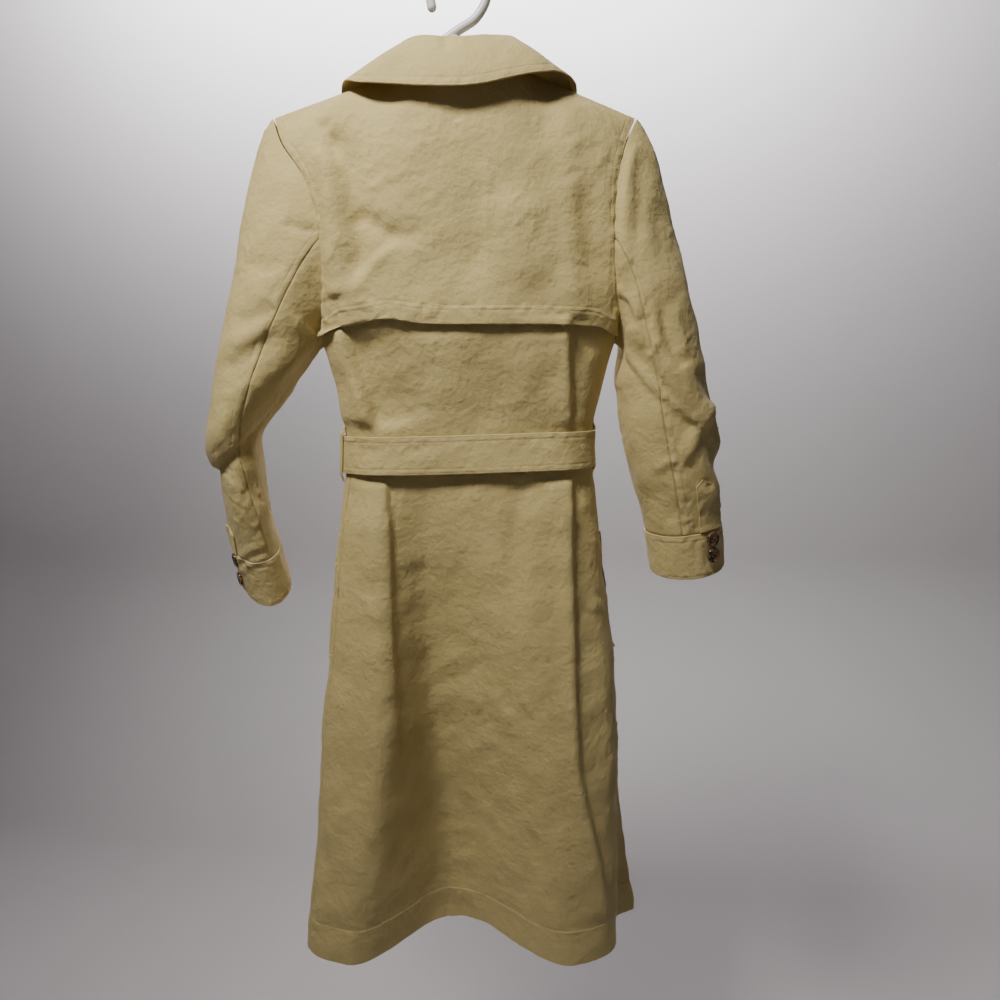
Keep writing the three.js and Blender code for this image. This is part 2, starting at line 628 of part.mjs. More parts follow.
const BUTTON_COLUMN_X = 56;
const BUTTON_HEIGHTS = [-392, -446, -578, -652];
BUTTON_HEIGHTS.forEach((z, k) => sides.forEach(({ side, name }) => {
  const seat = frontSeat(MIDDLE_X + side * BUTTON_COLUMN_X, z);
  add(`front_button_${name}_${k + 1}`, button(BUTTON_RADIUS, seat, 0.5), SHELL_PLASTIC);
}));

// Lapels turned back over the fronts from the roll line, the left one tucked in where they cross
const LAPEL = [
  { a: 0, right: 52, left: 52, rise: 0 },
  { a: 0.2, right: 78, left: 78, rise: 4 },
  { a: 0.3, right: 92, left: 90, rise: 8 },
  { a: 0.5, right: 74, left: 10, rise: 4 },
  { a: 0.75, right: 40, left: 4, rise: 0 },
  { a: 1, right: 6, left: 2, rise: 0 },
];
const LAPEL_FROM = 0.1;
const LAPEL_STAND = 0.5;            // how far a lapel lies off its front, and how much its edge opens
const LAPEL_OPEN = 1.5;

function lapelPoint(side, a, b) {
  const base = frontTopEdge(side, mix(FRONT_NECK_AT, 1, a));
  const width = tableValue(LAPEL, 'a', side > 0 ? 'right' : 'left', a);
  const x = base.x + side * width * b;
  const z = base.z + tableValue(LAPEL, 'a', 'rise', a) * b;
  return new Vector3(x, chestDepth(x, z), z);
}

sides.forEach(({ side, name }) => {
  const end = side > 0 ? 0.97 : 0.45;
  const along = steps(LAPEL_FROM, end, side > 0 ? 12 : 7);
  const rows = pointRows(steps(0, 1, 4), along, (b, a) => lapelPoint(side, a, b));
  const lift = (b) => WALL + LAPEL_STAND + LAPEL_OPEN * b - (side > 0 ? 0 : UNDER);
  add(`lapel_${name}`, clothWall(rows, { hand: -side, lift }));
});

// Collar: fold line over the stand and outer edge of the leaf, q from -1 at the left front over 0
// at the middle of the back to 1 at the right front
const COLLAR = [
  { q: -1, foldX: -46, foldY: 36, foldZ: -134, edgeX: -88, edgeY: 50, edgeZ: -200 },
  { q: -0.75, foldX: -60, foldY: 18, foldZ: -98, edgeX: -121, edgeY: 36, edgeZ: -158 },
  { q: -0.5, foldX: -60, foldY: -4, foldZ: -80, edgeX: -127, edgeY: 2, edgeZ: -112 },
  { q: -0.25, foldX: -46, foldY: -25, foldZ: -73, edgeX: -92, edgeY: -46, edgeZ: -125 },
  { q: 0, foldX: 4, foldY: -37, foldZ: -79, edgeX: 4, edgeY: -70, edgeZ: -136 },
  { q: 0.25, foldX: 55, foldY: -25, foldZ: -72, edgeX: 84, edgeY: -52, edgeZ: -118 },
  { q: 0.5, foldX: 67, foldY: -4, foldZ: -80, edgeX: 127, edgeY: 2, edgeZ: -112 },
  { q: 0.75, foldX: 66, foldY: 18, foldZ: -98, edgeX: 123, edgeY: 36, edgeZ: -156 },
  { q: 1, foldX: 52, foldY: 36, foldZ: -134, edgeX: 92, edgeY: 50, edgeZ: -200 },
];

function collarLine(line, q) {
  const value = (axis) => tableValue(COLLAR, 'q', line + axis, q);
  return new Vector3(value('X'), value('Y'), value('Z'));
}
const leafPoint = (q, b) => collarLine('fold', q).lerp(collarLine('edge', q), b);
add('collar_leaf', clothWall(
  pointRows(steps(-1, 1, 24), steps(0, 1, 3), leafPoint),
  { lift: (column, row) => mix(5, 1, clamp((2 * column - 1) ** 2 * 4)) * Math.sin(Math.PI * row) },
));

const STAND_END = 0.5;
const STAND_DROP = 3;
const STAND_RISE = 0.5;
function standPoint(q, b) {
  const top = collarLine('fold', q);
  top.z -= STAND_DROP;
  const seam = backTopEdge(q / STAND_END * NECK_AT);
  seam.z += STAND_RISE;
  return top.lerp(seam, b);
}
add('collar_stand', clothWall(pointRows(steps(-STAND_END, STAND_END, 14), steps(0, 1, 2), standPoint)));

// Sleeve straps above the cuffs and the buttons on the cuffs
const STRAPS = {
  1: { w: 0.168, half: 0.052, from: 2.75, to: 4.97 },
  [-1]: { w: 0.035, half: 0.05, from: 3.5, to: 4.97 },
};
const CUFF_BUTTONS = { 1: [5.2, 5.55], [-1]: [5.27, 5.72] };

function sleeveSeat(side, w, r) {
  const point = sleevePoint(side, w, r);
  const across = sleevePoint(side, w + 0.01, r).sub(sleevePoint(side, w - 0.01, r));
  const down = sleevePoint(side, w, r + 0.05).sub(sleevePoint(side, w, r - 0.05));
  return { point, out: across.cross(down).multiplyScalar(side).normalize() };
}

sides.forEach(({ side, name }) => {
  const { w, half, from, to } = STRAPS[side];
  const narrow = (r) => mix(0.45, 1, smooth((r - from) / 0.35));
  const point = (s, r) => sleevePoint(side, w + s * half * narrow(r), r);
  const rows = pointRows(steps(-1, 1, 4), steps(from, to, 5), point);
  add(`sleeve_strap_${name}`, clothWall(rows, { hand: -side, lift: () => WALL + 1.1 }));
  CUFF_BUTTONS[side].forEach((r, k) => {
    const geometry = button(CUFF_BUTTON_RADIUS, sleeveSeat(side, w, r), 1.8);
    add(`cuff_button_${name}_${k + 1}`, geometry, SHELL_PLASTIC);
  });
});

// Pocket welts beside the side seams
const WELT_STAND = { 1: 0.7, [-1]: -0.9 };
const WELT = { top: -604, bottom: -752, near: 0.006, far: 0.03 };
sides.forEach(({ side, name }) => {
  const seam = seamTurn(side, WELT.top);
  const turns = steps(seam + side * WELT.near, seam + side * WELT.far, 2);
  if (side < 0) turns.reverse();
  const lift = () => WALL + WELT_STAND[side];
  add(`pocket_welt_${name}`, bodyStrip(turns, steps(WELT.top, WELT.bottom, 4), lift));
});

// Hanger: one bent tube from the hook down the left arm and along the bar, and the right arm
function tube(points, stepsAlong) {
  const section = new THREE.Shape();
  const sectionSides = 8;
  for (let k = 0; k < sectionSides; k += 1) {
    const angle = k / sectionSides * 2 * Math.PI;
    const [x, y] = [TUBE_RADIUS * Math.cos(angle), TUBE_RADIUS * Math.sin(angle)];
    if (k) section.lineTo(x, y);
    else section.moveTo(x, y);
  }
  const path = new CatmullRomCurve3(points.map(([x, z]) => new Vector3(x, 0, z)), false, 'centripetal');
  return new THREE.ExtrudeGeometry(section, { steps: stepsAlong, extrudePath: path, bevelEnabled: false });
}

function solid(geometry) {
  const bare = geometry.clone();
  bare.deleteAttribute('normal');
  bare.deleteAttribute('uv');
  const merged = mergeVertices(bare, 1e-3);
  return new wasm.Manifold(new wasm.Mesh({
    numProp: 3,
    vertProperties: new Float32Array(merged.attributes.position.array),
    triVerts: new Uint32Array(merged.index.array),
  }));
}

function geometryOf(manifold) {
  const mesh = manifold.getMesh();
  const geometry = new THREE.BufferGeometry();
  geometry.setAttribute('position', new THREE.Float32BufferAttribute(mesh.vertProperties, 3));
  geometry.setIndex(Array.from(mesh.triVerts));
  return geometry;
}

const HOOK_MIDDLE_Z = TUBE_RADIUS - HOOK_RADIUS;
const hookArc = steps(200, 0, 8).map((degrees) => {
  const angle = degrees * Math.PI / 180;
  return [HOOK_RADIUS * Math.cos(angle), HOOK_MIDDLE_Z + HOOK_RADIUS * Math.sin(angle)];
});
const LEFT_ARM = [
  [19, -45], [-1, -58], [-31, -78], [-75, -120.7], [-130, -137.7], [-178, -156], [-188, -165], [-180, -176],
];
const BAR = [[-150, -180], [140, -180], [170, -176], [178, -165]];
const RIGHT_ARM = [[178, -165], [170, -153.6], [125, -135.2], [80, -116.2], [13, -77], [-8, -64]];
const leftTube = solid(tube([...hookArc, ...LEFT_ARM, ...BAR], 46));
const rightTube = solid(tube(RIGHT_ARM, 14));
add('hanger', geometryOf(leftTube.add(rightTube)), HANGER_PLASTIC);

export default coat;
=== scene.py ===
"""Looks of a belted trench coat on a plastic hanger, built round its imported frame."""

import math

import bmesh
import bpy
import numpy as np
from bpy.props import FloatProperty, FloatVectorProperty, PointerProperty
from bpy.types import Operator, Panel, PropertyGroup
from mathutils import Matrix, Vector


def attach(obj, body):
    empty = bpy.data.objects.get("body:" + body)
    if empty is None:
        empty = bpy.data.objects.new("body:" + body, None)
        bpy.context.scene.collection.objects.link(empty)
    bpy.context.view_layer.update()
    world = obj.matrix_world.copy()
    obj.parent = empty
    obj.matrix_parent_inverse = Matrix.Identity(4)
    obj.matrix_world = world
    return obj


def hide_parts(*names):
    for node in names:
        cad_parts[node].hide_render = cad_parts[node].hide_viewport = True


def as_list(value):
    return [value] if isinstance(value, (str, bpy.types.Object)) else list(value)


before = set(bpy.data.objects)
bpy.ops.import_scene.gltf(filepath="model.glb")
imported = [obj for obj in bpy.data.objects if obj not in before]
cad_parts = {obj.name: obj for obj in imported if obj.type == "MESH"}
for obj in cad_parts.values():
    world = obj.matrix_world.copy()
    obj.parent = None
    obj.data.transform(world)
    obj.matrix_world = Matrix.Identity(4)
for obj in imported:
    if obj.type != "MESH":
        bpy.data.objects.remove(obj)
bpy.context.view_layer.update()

bl_info = {
    "name": "Trench coat",
    "version": (1, 0, 0),
    "blender": (4, 5, 0),
    "location": "View3D > Sidebar > Coat",
    "description": "Builds a hanging trench coat with creases, seams, stitches and buttons",
    "category": "Add Mesh",
}

# All sizes below are millimetres, and meshes are scaled to metres when they are made
MM = 0.001
WALL = 1.6
GAP = 0.3
CUFF_THICK = 2.4
BELT_THICK = 2.4
ARMPIT_Z = -382
BELT_TOP = -482
BELT_BOTTOM = -529
HEM_Z = -1138
LEVEL_STEP = 2
CUFF_START = 5
CUFF_END = 6
ROW_LEAN = 0.85
NECK_AT = 0.4
FRONT_NECK_AT = 0.34
ROUND_OUT = 5
BREAK_Z = -342
OVERLAP = 76
MIDDLE_X = 6
RIDGE_WIDTH = 15
CHEST_DEPTH = 49
CHEST_Z = -290
UNDER = WALL + 1.2
SEAM_BACK = 0.29
SEAM_INNER = 0.56
NECK = {1: np.array([76.0, 0, -103]), -1: np.array([-70.0, 0, -104])}
NECK_BACK = np.array([4.0, -42, -108])
SIDES = {1: "right", -1: "left"}


def named(columns, rows):
    """A table as one array for each named column."""
    return dict(zip(columns, np.array(rows, float).T))


# Plan of the body at each height
PLAN = named(
    ["z", "left", "right", "sideY", "back", "front", "round", "dip", "dipX", "dipL", "dipR", "flare",
     "ridgeL", "ridgeR", "ridge"],
    [
        [-382, -151, 174, -4, -57, 46, 2.5, 0, 0, 70, 90, 0, -118, 124, 5],
        [-430, -140, 160, -2, -50, 42, 2.5, 0, -10, 70, 90, 0, -106, 124, 6],
        [-482, -134, 150, 0, -43, 36, 2.7, 2, -30, 62, 95, 0, -99, 124, 3],
        [-529, -136, 152, 2, -43, 37, 2.7, 6, -32, 58, 100, 0, -99, 124, 3],
        [-600, -147, 161, 5, -48, 43, 2.7, 18, -36, 54, 112, 0, -98, 126, 5],
        [-690, -156, 174, 8, -52, 49, 2.8, 34, -38, 52, 124, 2, -99, 129, 5],
        [-823, -174, 188, 12, -55, 54, 3.0, 56, -34, 58, 142, 6, -102, 135, 4],
        [-960, -187, 192, 14, -57, 57, 3.3, 75, -27, 84, 152, 30, -118, 148, 2],
        [-1138, -204, 195, 14, -59, 61, 3.6, 94, -15, 132, 155, 62, -148, 165, 1],
    ],
)

# Armholes from the shoulder tip down to the side seam
ARMHOLE = named(
    ["t", "left", "right", "back", "front", "z"],
    [
        [0, -200, 190, 0, 0, -147],
        [0.16, -187, 177, -17, 14, -178],
        [0.33, -163, 168, -31, 26, -213],
        [0.5, -148, 164, -38, 33, -254],
        [0.67, -143, 165, -39, 35, -298],
        [0.84, -145, 168, -30, 27, -344],
        [1, -151, 174, -4, -4, -382],
    ],
)

# Rings of the sleeves below the armholes
RING_COLUMNS = ["ring", "x", "y", "z", "wide", "deep", "turn", "tilt"]
SLEEVES = {
    1: named(RING_COLUMNS, [
        [0, 226, -4, -425, 51, 55, 0, 0],
        [1, 237, -4, -480, 53, 54, 0, 0],
        [2, 248, -3, -532, 49, 51, 0, 0],
        [3, 255, -1, -566, 46, 48, 0, 0],
        [4, 260, 0, -593, 44, 46, 0, 2],
        [5, 267, 2, -643, 41, 44, 0, 4],
    ]),
    -1: named(RING_COLUMNS, [
        [0, -231, -4, -420, 45, 56, 0, 0],
        [1, -258, 2, -478, 30, 60, 10, 0],
        [2, -261, 8, -530, 27, 58, 18, 3],
        [3, -257, 14, -580, 26, 54, 24, 8],
        [4, -252, 19, -614, 27, 49, 27, 15],
        [5, -244, 26, -664, 28, 46, 28, 22],
    ]),
}
ELBOW_FOLD = {
    1: {"x": 188, "z": -382, "fall": 1.2, "proud": 4, "deep": 5},
    -1: {"x": -158, "z": -388, "fall": 1.04, "proud": 4, "deep": 5},
}

# Lapels and collar
LAPEL = named(
    ["a", "right", "left", "rise"],
    [[0, 52, 52, 0], [0.2, 78, 78, 4], [0.3, 92, 90, 8], [0.5, 74, 10, 4], [0.75, 40, 4, 0], [1, 6, 2, 0]],
)
COLLAR = named(
    ["q", "foldX", "foldY", "foldZ", "edgeX", "edgeY", "edgeZ"],
    [
        [-1, -46, 36, -134, -88, 50, -200],
        [-0.75, -60, 18, -98, -121, 36, -158],
        [-0.5, -60, -4, -80, -127, 2, -112],
        [-0.25, -46, -25, -73, -92, -46, -125],
        [0, 4, -37, -79, 4, -70, -136],
        [0.25, 55, -25, -72, 84, -52, -118],
        [0.38, 63, -15, -75.5, 109, -29, -109],
        [0.5, 67, -4, -80, 127, 2, -112],
        [0.75, 66, 18, -98, 123, 36, -156],
        [1, 52, 36, -134, 92, 50, -200],
    ],
)


def hermite(s, a, b, slope_a, slope_b):
    s2, s3 = s * s, s * s * s
    ends = (2 * s3 - 3 * s2 + 1) * a + (3 * s2 - 2 * s3) * b
    return ends + (s3 - 2 * s2 + s) * slope_a + (s3 - s2) * slope_b


def smooth(x):
    x = np.clip(x, 0, 1)
    return x * x * (3 - 2 * x)


def mix(a, b, s):
    return a + (b - a) * s


def bell(x, width):
    return np.exp(-((x / width) ** 2))


def table_value(table, key, name, at):
    """Smooth curve through the rows of a table, read by the value of one column."""
    order = np.argsort(table[key])
    x, y = table[key][order], table[name][order]
    last = len(x) - 1
    at = np.clip(at, x[0], x[last])
    before, after = np.maximum(np.arange(last + 1) - 1, 0), np.minimum(np.arange(last + 1) + 1, last)
    slope = (y[after] - y[before]) / (x[after] - x[before])
    k = np.clip(np.searchsorted(x, at) - 1, 0, last - 1)
    span = x[k + 1] - x[k]
    return hermite((at - x[k]) / span, y[k], y[k + 1], slope[k] * span, slope[k + 1] * span)


def point(x, y, z):
    return np.stack(np.broadcast_arrays(x, y, z), -1).astype(float)


def unit(vectors):
    return vectors / np.maximum(np.linalg.norm(vectors, axis=-1, keepdims=True), 1e-9)


# The body is even in steps along its plan at each height: turn 0 is the middle of the back, 0.25
# the right side, 0.5 the middle of the front and -0.25 the left side
PLAN_PARTS = ((-0.5, -0.25), (-0.25, 0.25), (0.25, 0.5))
PLAN_STEPS = 160
LEVELS = np.arange(ARMPIT_Z, HEM_Z - 1, -LEVEL_STEP, dtype=float)


def plan_xy(z, angle):
    def size(name):
        return table_value(PLAN, "z", name, z)

    middle, half = (size("left") + size("right")) / 2, (size("right") - size("left")) / 2
    power = 2 / size("round")
    s, c = np.sin(angle), np.cos(angle)
    depth = np.where(c > 0, size("back"), size("front")) - size("sideY")
    x = middle + half * np.sign(s) * np.abs(s) ** power
    y = size("sideY") + depth * np.abs(c) ** power
    behind = c > 0
    x = x + np.where(behind, 0, size("flare") * smooth(np.abs(c) * 1.4) * smooth((x - middle) / half))
    reach = np.where(x < size("dipX"), size("dipL"), size("dipR"))
    dip = size("dip") * np.cos(np.clip(np.abs(x - size("dipX")) / reach, 0, 1) * np.pi / 2) ** 2
    ridges = bell(x - size("ridgeL"), RIDGE_WIDTH) + bell(x - size("ridgeR"), RIDGE_WIDTH)
    return x, y + np.where(behind, dip - size("ridge") * c * ridges, 0)


def even_plan(part):
    start, end = part
    angle = np.linspace(start, end, PLAN_STEPS + 1) * 2 * np.pi
    x, y = plan_xy(LEVELS[:, None], angle[None, :])
    run = np.cumsum(np.hypot(np.diff(x, axis=1), np.diff(y, axis=1)), axis=1)
    run = np.hstack([np.zeros((len(LEVELS), 1)), run])
    even = np.linspace(0, 1, PLAN_STEPS + 1)
    rows = [(np.interp(even * r[-1], r, a), np.interp(even * r[-1], r, b)) for r, a, b in zip(run, x, y)]
    return np.array(rows).transpose(0, 2, 1)


EVEN_PLAN = np.array([even_plan(part) for part in PLAN_PARTS])


def body(turn, z):
    """Points of the body's plan at turns and heights."""
    turn, z = np.broadcast_arrays(np.asarray(turn, float), np.asarray(z, float))
    turn = (turn + 0.5) % 1.0 - 0.5
    part = (turn > -0.25).astype(int) + (turn > 0.25)
    start = np.array([p[0] for p in PLAN_PARTS])[part]
    end = np.array([p[1] for p in PLAN_PARTS])[part]
    along = np.clip((turn - start) / (end - start), 0, 1) * PLAN_STEPS
    level = np.clip((ARMPIT_Z - z) / LEVEL_STEP, 0, len(LEVELS) - 1)
    i, j = np.minimum(along.astype(int), PLAN_STEPS - 1), np.minimum(level.astype(int), len(LEVELS) - 2)
    a, b = (along - i)[..., None], (level - j)[..., None]
    upper = mix(EVEN_PLAN[part, j, i], EVEN_PLAN[part, j, i + 1], a)
    lower = mix(EVEN_PLAN[part, j + 1, i], EVEN_PLAN[part, j + 1, i + 1], a)
    xy = mix(upper, lower, b)
    return point(xy[..., 0], xy[..., 1], z)


def armhole_edge(side, face, t):
    """Armhole edge of a side (1 right, -1 left) and face (-1 back, 1 front)."""
    x = table_value(ARMHOLE, "t", SIDES[side], t)
    y = table_value(ARMHOLE, "t", "back" if face < 0 else "front", t)
    return point(x, y, table_value(ARMHOLE, "t", "z", t))


def back_top_edge(s):
    """Shoulder seams and back neck, s from -1 at the left shoulder tip to 1 at the right one."""
    s = np.asarray(s, float)
    on_right = (s >= 0)[..., None]
    neck = np.where(on_right, NECK[1], NECK[-1])
    tip = np.where(on_right, armhole_edge(1, -1, 0), armhole_edge(-1, -1, 0))
    out = np.abs(s)[..., None]
    shoulder = mix(neck, tip, np.clip((out - NECK_AT) / (1 - NECK_AT), 0, 1))
    a = np.clip(out / NECK_AT, 0, 1)
    behind = mix(NECK_BACK, neck, a)
    behind[..., 1] = (NECK_BACK[1] * np.sqrt(np.clip(1 - a ** 2.4, 0, 1)))[..., 0]
    behind[..., 2] = mix(NECK_BACK[2], neck[..., 2], a[..., 0] ** 2)
    return np.where(out >= NECK_AT, shoulder, behind)


NECK_SOFTNESS = 0.08


def soft_top_edge(s):
    """The back's top edge with its corner beside the neck rounded, as cloth falls from it."""
    shifts = np.linspace(-NECK_SOFTNESS, NECK_SOFTNESS, 7)
    evened = sum(back_top_edge(s + shift) for shift in shifts) / len(shifts)
    near = bell(np.abs(s) - NECK_AT, NECK_SOFTNESS * 1.5)[..., None]
    return mix(back_top_edge(s), evened, near)


def loft(top, bottom, t, edge):
    """From a top edge down to the plan at armpit height, rounding out quickly under the edge."""
    drop = (top[..., 2] - bottom[..., 2]) / 235
    x = hermite(t, top[..., 0], bottom[..., 0], 0, 0)
    y = mix(bottom[..., 1], top[..., 1], (1 - t) ** ROUND_OUT)
    z = hermite(t, top[..., 2], bottom[..., 2], -mix(200, 60, edge) * drop, -235 * drop)
    return point(x, y, z)


def seam_turn(side, z):
    swing = 0 if side > 0 else 0.04 * smooth((-420 - z) / 120)
    return side * (0.25 - swing)


def row_height(v):
    return mix(ARMPIT_Z, HEM_Z, v - 1)


def back_point(s, v):
    """Back from the shoulders (v 0) past the armpits (v 1) to the hem (v 2)."""
    s, v = np.broadcast_arrays(np.asarray(s, float), np.asarray(v, float))
    t = np.clip(v, 0, 1)
    side = np.where(s >= 0, 1.0, -1.0)

    def surface(a):
        return loft(soft_top_edge(a), body(a * 0.25, ARMPIT_Z), t, np.abs(a))

    goal = np.where((s >= 0)[..., None], armhole_edge(1, -1, t), armhole_edge(-1, -1, t))
    upper = surface(s) + (goal - surface(side)) * (np.abs(s) ** 5)[..., None]
    z = row_height(np.maximum(v, 1))
    lower = body(mix(seam_turn(-1, z), seam_turn(1, z), (s + 1) / 2), z)
    return np.where((v <= 1)[..., None], upper, lower)


def turn_at_x(side, x, z):
    low, high = np.full(np.shape(z), 0.25), np.full(np.shape(z), 0.75)
    for _ in range(26):
        turn = (low + high) / 2
        passed = side * (body(side * turn, z)[..., 0] - x) < 0
        low, high = np.where(passed, low, turn), np.where(passed, turn, high)
    return side * (low + high) / 2


def chest_depth(x, z):
    """How far the chest stands out, rounded under the shoulder, and the plan at the armpit."""
    on_right = x > MIDDLE_X
    tip = {side: armhole_edge(side, 1, 0) for side in SIDES}
    neck_x, neck_z = (np.where(on_right, NECK[1][k], NECK[-1][k]) for k in (0, 2))
    tip_x, tip_z = (np.where(on_right, tip[1][k], tip[-1][k]) for k in (0, 2))
    below = mix(neck_z, tip_z, np.clip((x - neck_x) / (tip_x - neck_x), 0, 1)) - z
    plan = {name: column[0] for name, column in PLAN.items()}
    off = np.clip(np.abs(2 * x - plan["left"] - plan["right"]) / (plan["right"] - plan["left"]), 0, 1)
    round_off = (1 - off ** plan["round"]) ** (1 / plan["round"])
    armpit = plan["sideY"] + (plan["front"] - plan["sideY"]) * round_off
    lower = smooth((CHEST_Z - z) / (CHEST_Z - ARMPIT_Z))
    rounding = 1 - np.exp(-((np.maximum(below, 0) / 48) ** 0.8))
    return mix(CHEST_DEPTH, armpit, lower) * mix(rounding, 1, lower)


def front_top_edge(side, s):
    neck, tip = NECK[side], armhole_edge(side, 1, 0)
    shoulder = mix(tip, neck, np.clip(s / FRONT_NECK_AT, 0, 1)[..., None])
    a = np.clip((s - FRONT_NECK_AT) / (1 - FRONT_NECK_AT), 0, 1)
    x, z = mix(neck[0], MIDDLE_X - side * OVERLAP, a), mix(neck[2], BREAK_Z, a)
    return np.where((s <= FRONT_NECK_AT)[..., None], shoulder, point(x, chest_depth(x, z), z))


def front_point(side, s, v):
    """Front of a side, s from its side seam (0) to its front edge (1)."""
    s, v = np.broadcast_arrays(np.asarray(s, float), np.asarray(v, float))
    z = np.where(v <= 1, ARMPIT_Z, row_height(v))
    start = seam_turn(side, z)
    heights, place = np.unique(z, return_inverse=True)
    end = turn_at_x(side, MIDDLE_X - side * OVERLAP, heights)[place].reshape(z.shape)
    t = np.clip(v, 0, 1)

    def surface(a):
        found = loft(front_top_edge(side, a), body(mix(start, end, a), ARMPIT_Z), t, 1 - a)
        found[..., 1] = chest_depth(found[..., 0], found[..., 2])
        return found

    miss = armhole_edge(side, 1, t) - surface(np.zeros_like(s))
    upper = surface(s) + miss * ((1 - s) ** 9)[..., None]
    return np.where((v <= 1)[..., None], upper, body(mix(start, end, s), z))


def sleeve_ring(side, k, w):
    """Ring k of a sleeve; w is 0 at the outer side, 0.25 behind, 0.5 next to the body."""
    table = SLEEVES[side]

    def value(name, at):
        return table_value(table, "ring", name, at)

    def middle(at):
        return point(value("x", at), value("y", at), value("z", at))

    last = table["ring"][-1]
    axis = unit(middle(np.minimum(k + 0.2, last)) - middle(np.maximum(k - 0.2, 0)))

    def across(direction):
        direction = np.array(direction, float)
        return unit(direction - axis * (axis @ direction)[..., None])

    outward, back = across([side, 0, 0]), across([0, -1, 0])
    turn = np.radians(value("turn", k))[..., None]
    wide = outward * np.cos(turn) + back * np.sin(turn)
    deep = back * np.cos(turn) - outward * np.sin(turn)
    s, c = np.sin(w * 2 * np.pi)[..., None], np.cos(w * 2 * np.pi)[..., None]
    found = middle(k) + wide * value("wide", k)[..., None] * c + deep * value("deep", k)[..., None] * s
    found[..., 2] -= value("tilt", k) * s[..., 0]
    return found


def sleeve_point(side, w, row):
    """Sleeve from the armhole (row 0) to the cuff's end, its rows leaning along the elbow's fold."""
    w, row = np.broadcast_arrays(np.asarray(w, float) % 1.0, np.asarray(row, float))
    cosine, sine = np.cos(w * 2 * np.pi), np.sin(w * 2 * np.pi)
    r = row + ROW_LEAN * cosine * np.sin(np.pi * np.minimum(row / CUFF_START, 1))
    t = np.clip(r, 0, 1)
    behind = armhole_edge(side, -1, np.clip(w * 2, 0, 1))
    ahead = armhole_edge(side, 1, np.clip(2 - w * 2, 0, 1))
    top = np.where((w <= 0.5)[..., None], behind, ahead)
    top[..., 0] += side * (GAP + 0.45)
    first = sleeve_ring(side, np.zeros_like(w), w)
    above = (1 + cosine) / 2
    start = point(side * mix(60, 95, above), -sine * 60, mix(-60, -110, above))
    end = point(side * mix(20, 45, above), 0, mix(-40, -200, above))
    upper = hermite(r[..., None], top, first, start, end)
    ring_at = np.maximum(r - 1, 0)
    found = np.where((r < 1)[..., None], upper, sleeve_ring(side, ring_at, w))
    fold = ELBOW_FOLD[side]
    past = found[..., 2] - (fold["z"] - side * (found[..., 0] - fold["x"]) * fold["fall"])
    middle = (sleeve_ring(side, ring_at, np.zeros_like(w)) + sleeve_ring(side, ring_at, w * 0 + 0.5)) / 2
    outward = found - middle
    outward[..., 2] = 0
    rise = fold["proud"] * bell(past - 16, 20) - fold["deep"] * bell(past + 12, 17)
    return found + unit(outward) * (rise * smooth((r - 0.3) * 2))[..., None]


def lapel_point(side, a, b):
    base = front_top_edge(side, mix(FRONT_NECK_AT, 1, a))
    x = base[..., 0] + side * table_value(LAPEL, "a", SIDES[side], a) * b
    z = base[..., 2] + table_value(LAPEL, "a", "rise", a) * b
    return point(x, chest_depth(x, z), z)


def collar_line(line, q):
    return point(*(table_value(COLLAR, "q", line + axis, q) for axis in "XYZ"))


# The camera stands where the photograph was taken, and creases are placed by where they show in
# its picture of 1000 by 1000 points
CAMERA_PLACE = np.array([44.0, -871, -417])
CAMERA_PITCH = math.radians(9.6)
FOCAL_POINTS = 751.0
PICTURE_MIDDLE = 500.0
SENSOR_WIDTH = 36.0


def seen_at(points):
    """Where points show in the picture."""
    x, y, z = np.moveaxis(points - CAMERA_PLACE, -1, 0)
    depth = y * math.cos(CAMERA_PITCH) - z * math.sin(CAMERA_PITCH)
    up = y * math.sin(CAMERA_PITCH) + z * math.cos(CAMERA_PITCH)
    across = PICTURE_MIDDLE + FOCAL_POINTS * x / depth
    return np.stack([across, PICTURE_MIDDLE - FOCAL_POINTS * up / depth], -1)


# Creases. A fold is a sharp edge with its raised side on the right hand of its path, and a ridge or
# a trough is soft. Rise and width are millimetres, and fades are the shares of a path over which it
# dies away at its start and end. Paths behind the coat are points of the picture
CREASE_COLUMNS = ("kind", "rise", "width", "fade_in", "fade_out", "path")
POINT_SIZE = 1.1
FOLD_EDGE = 1.7

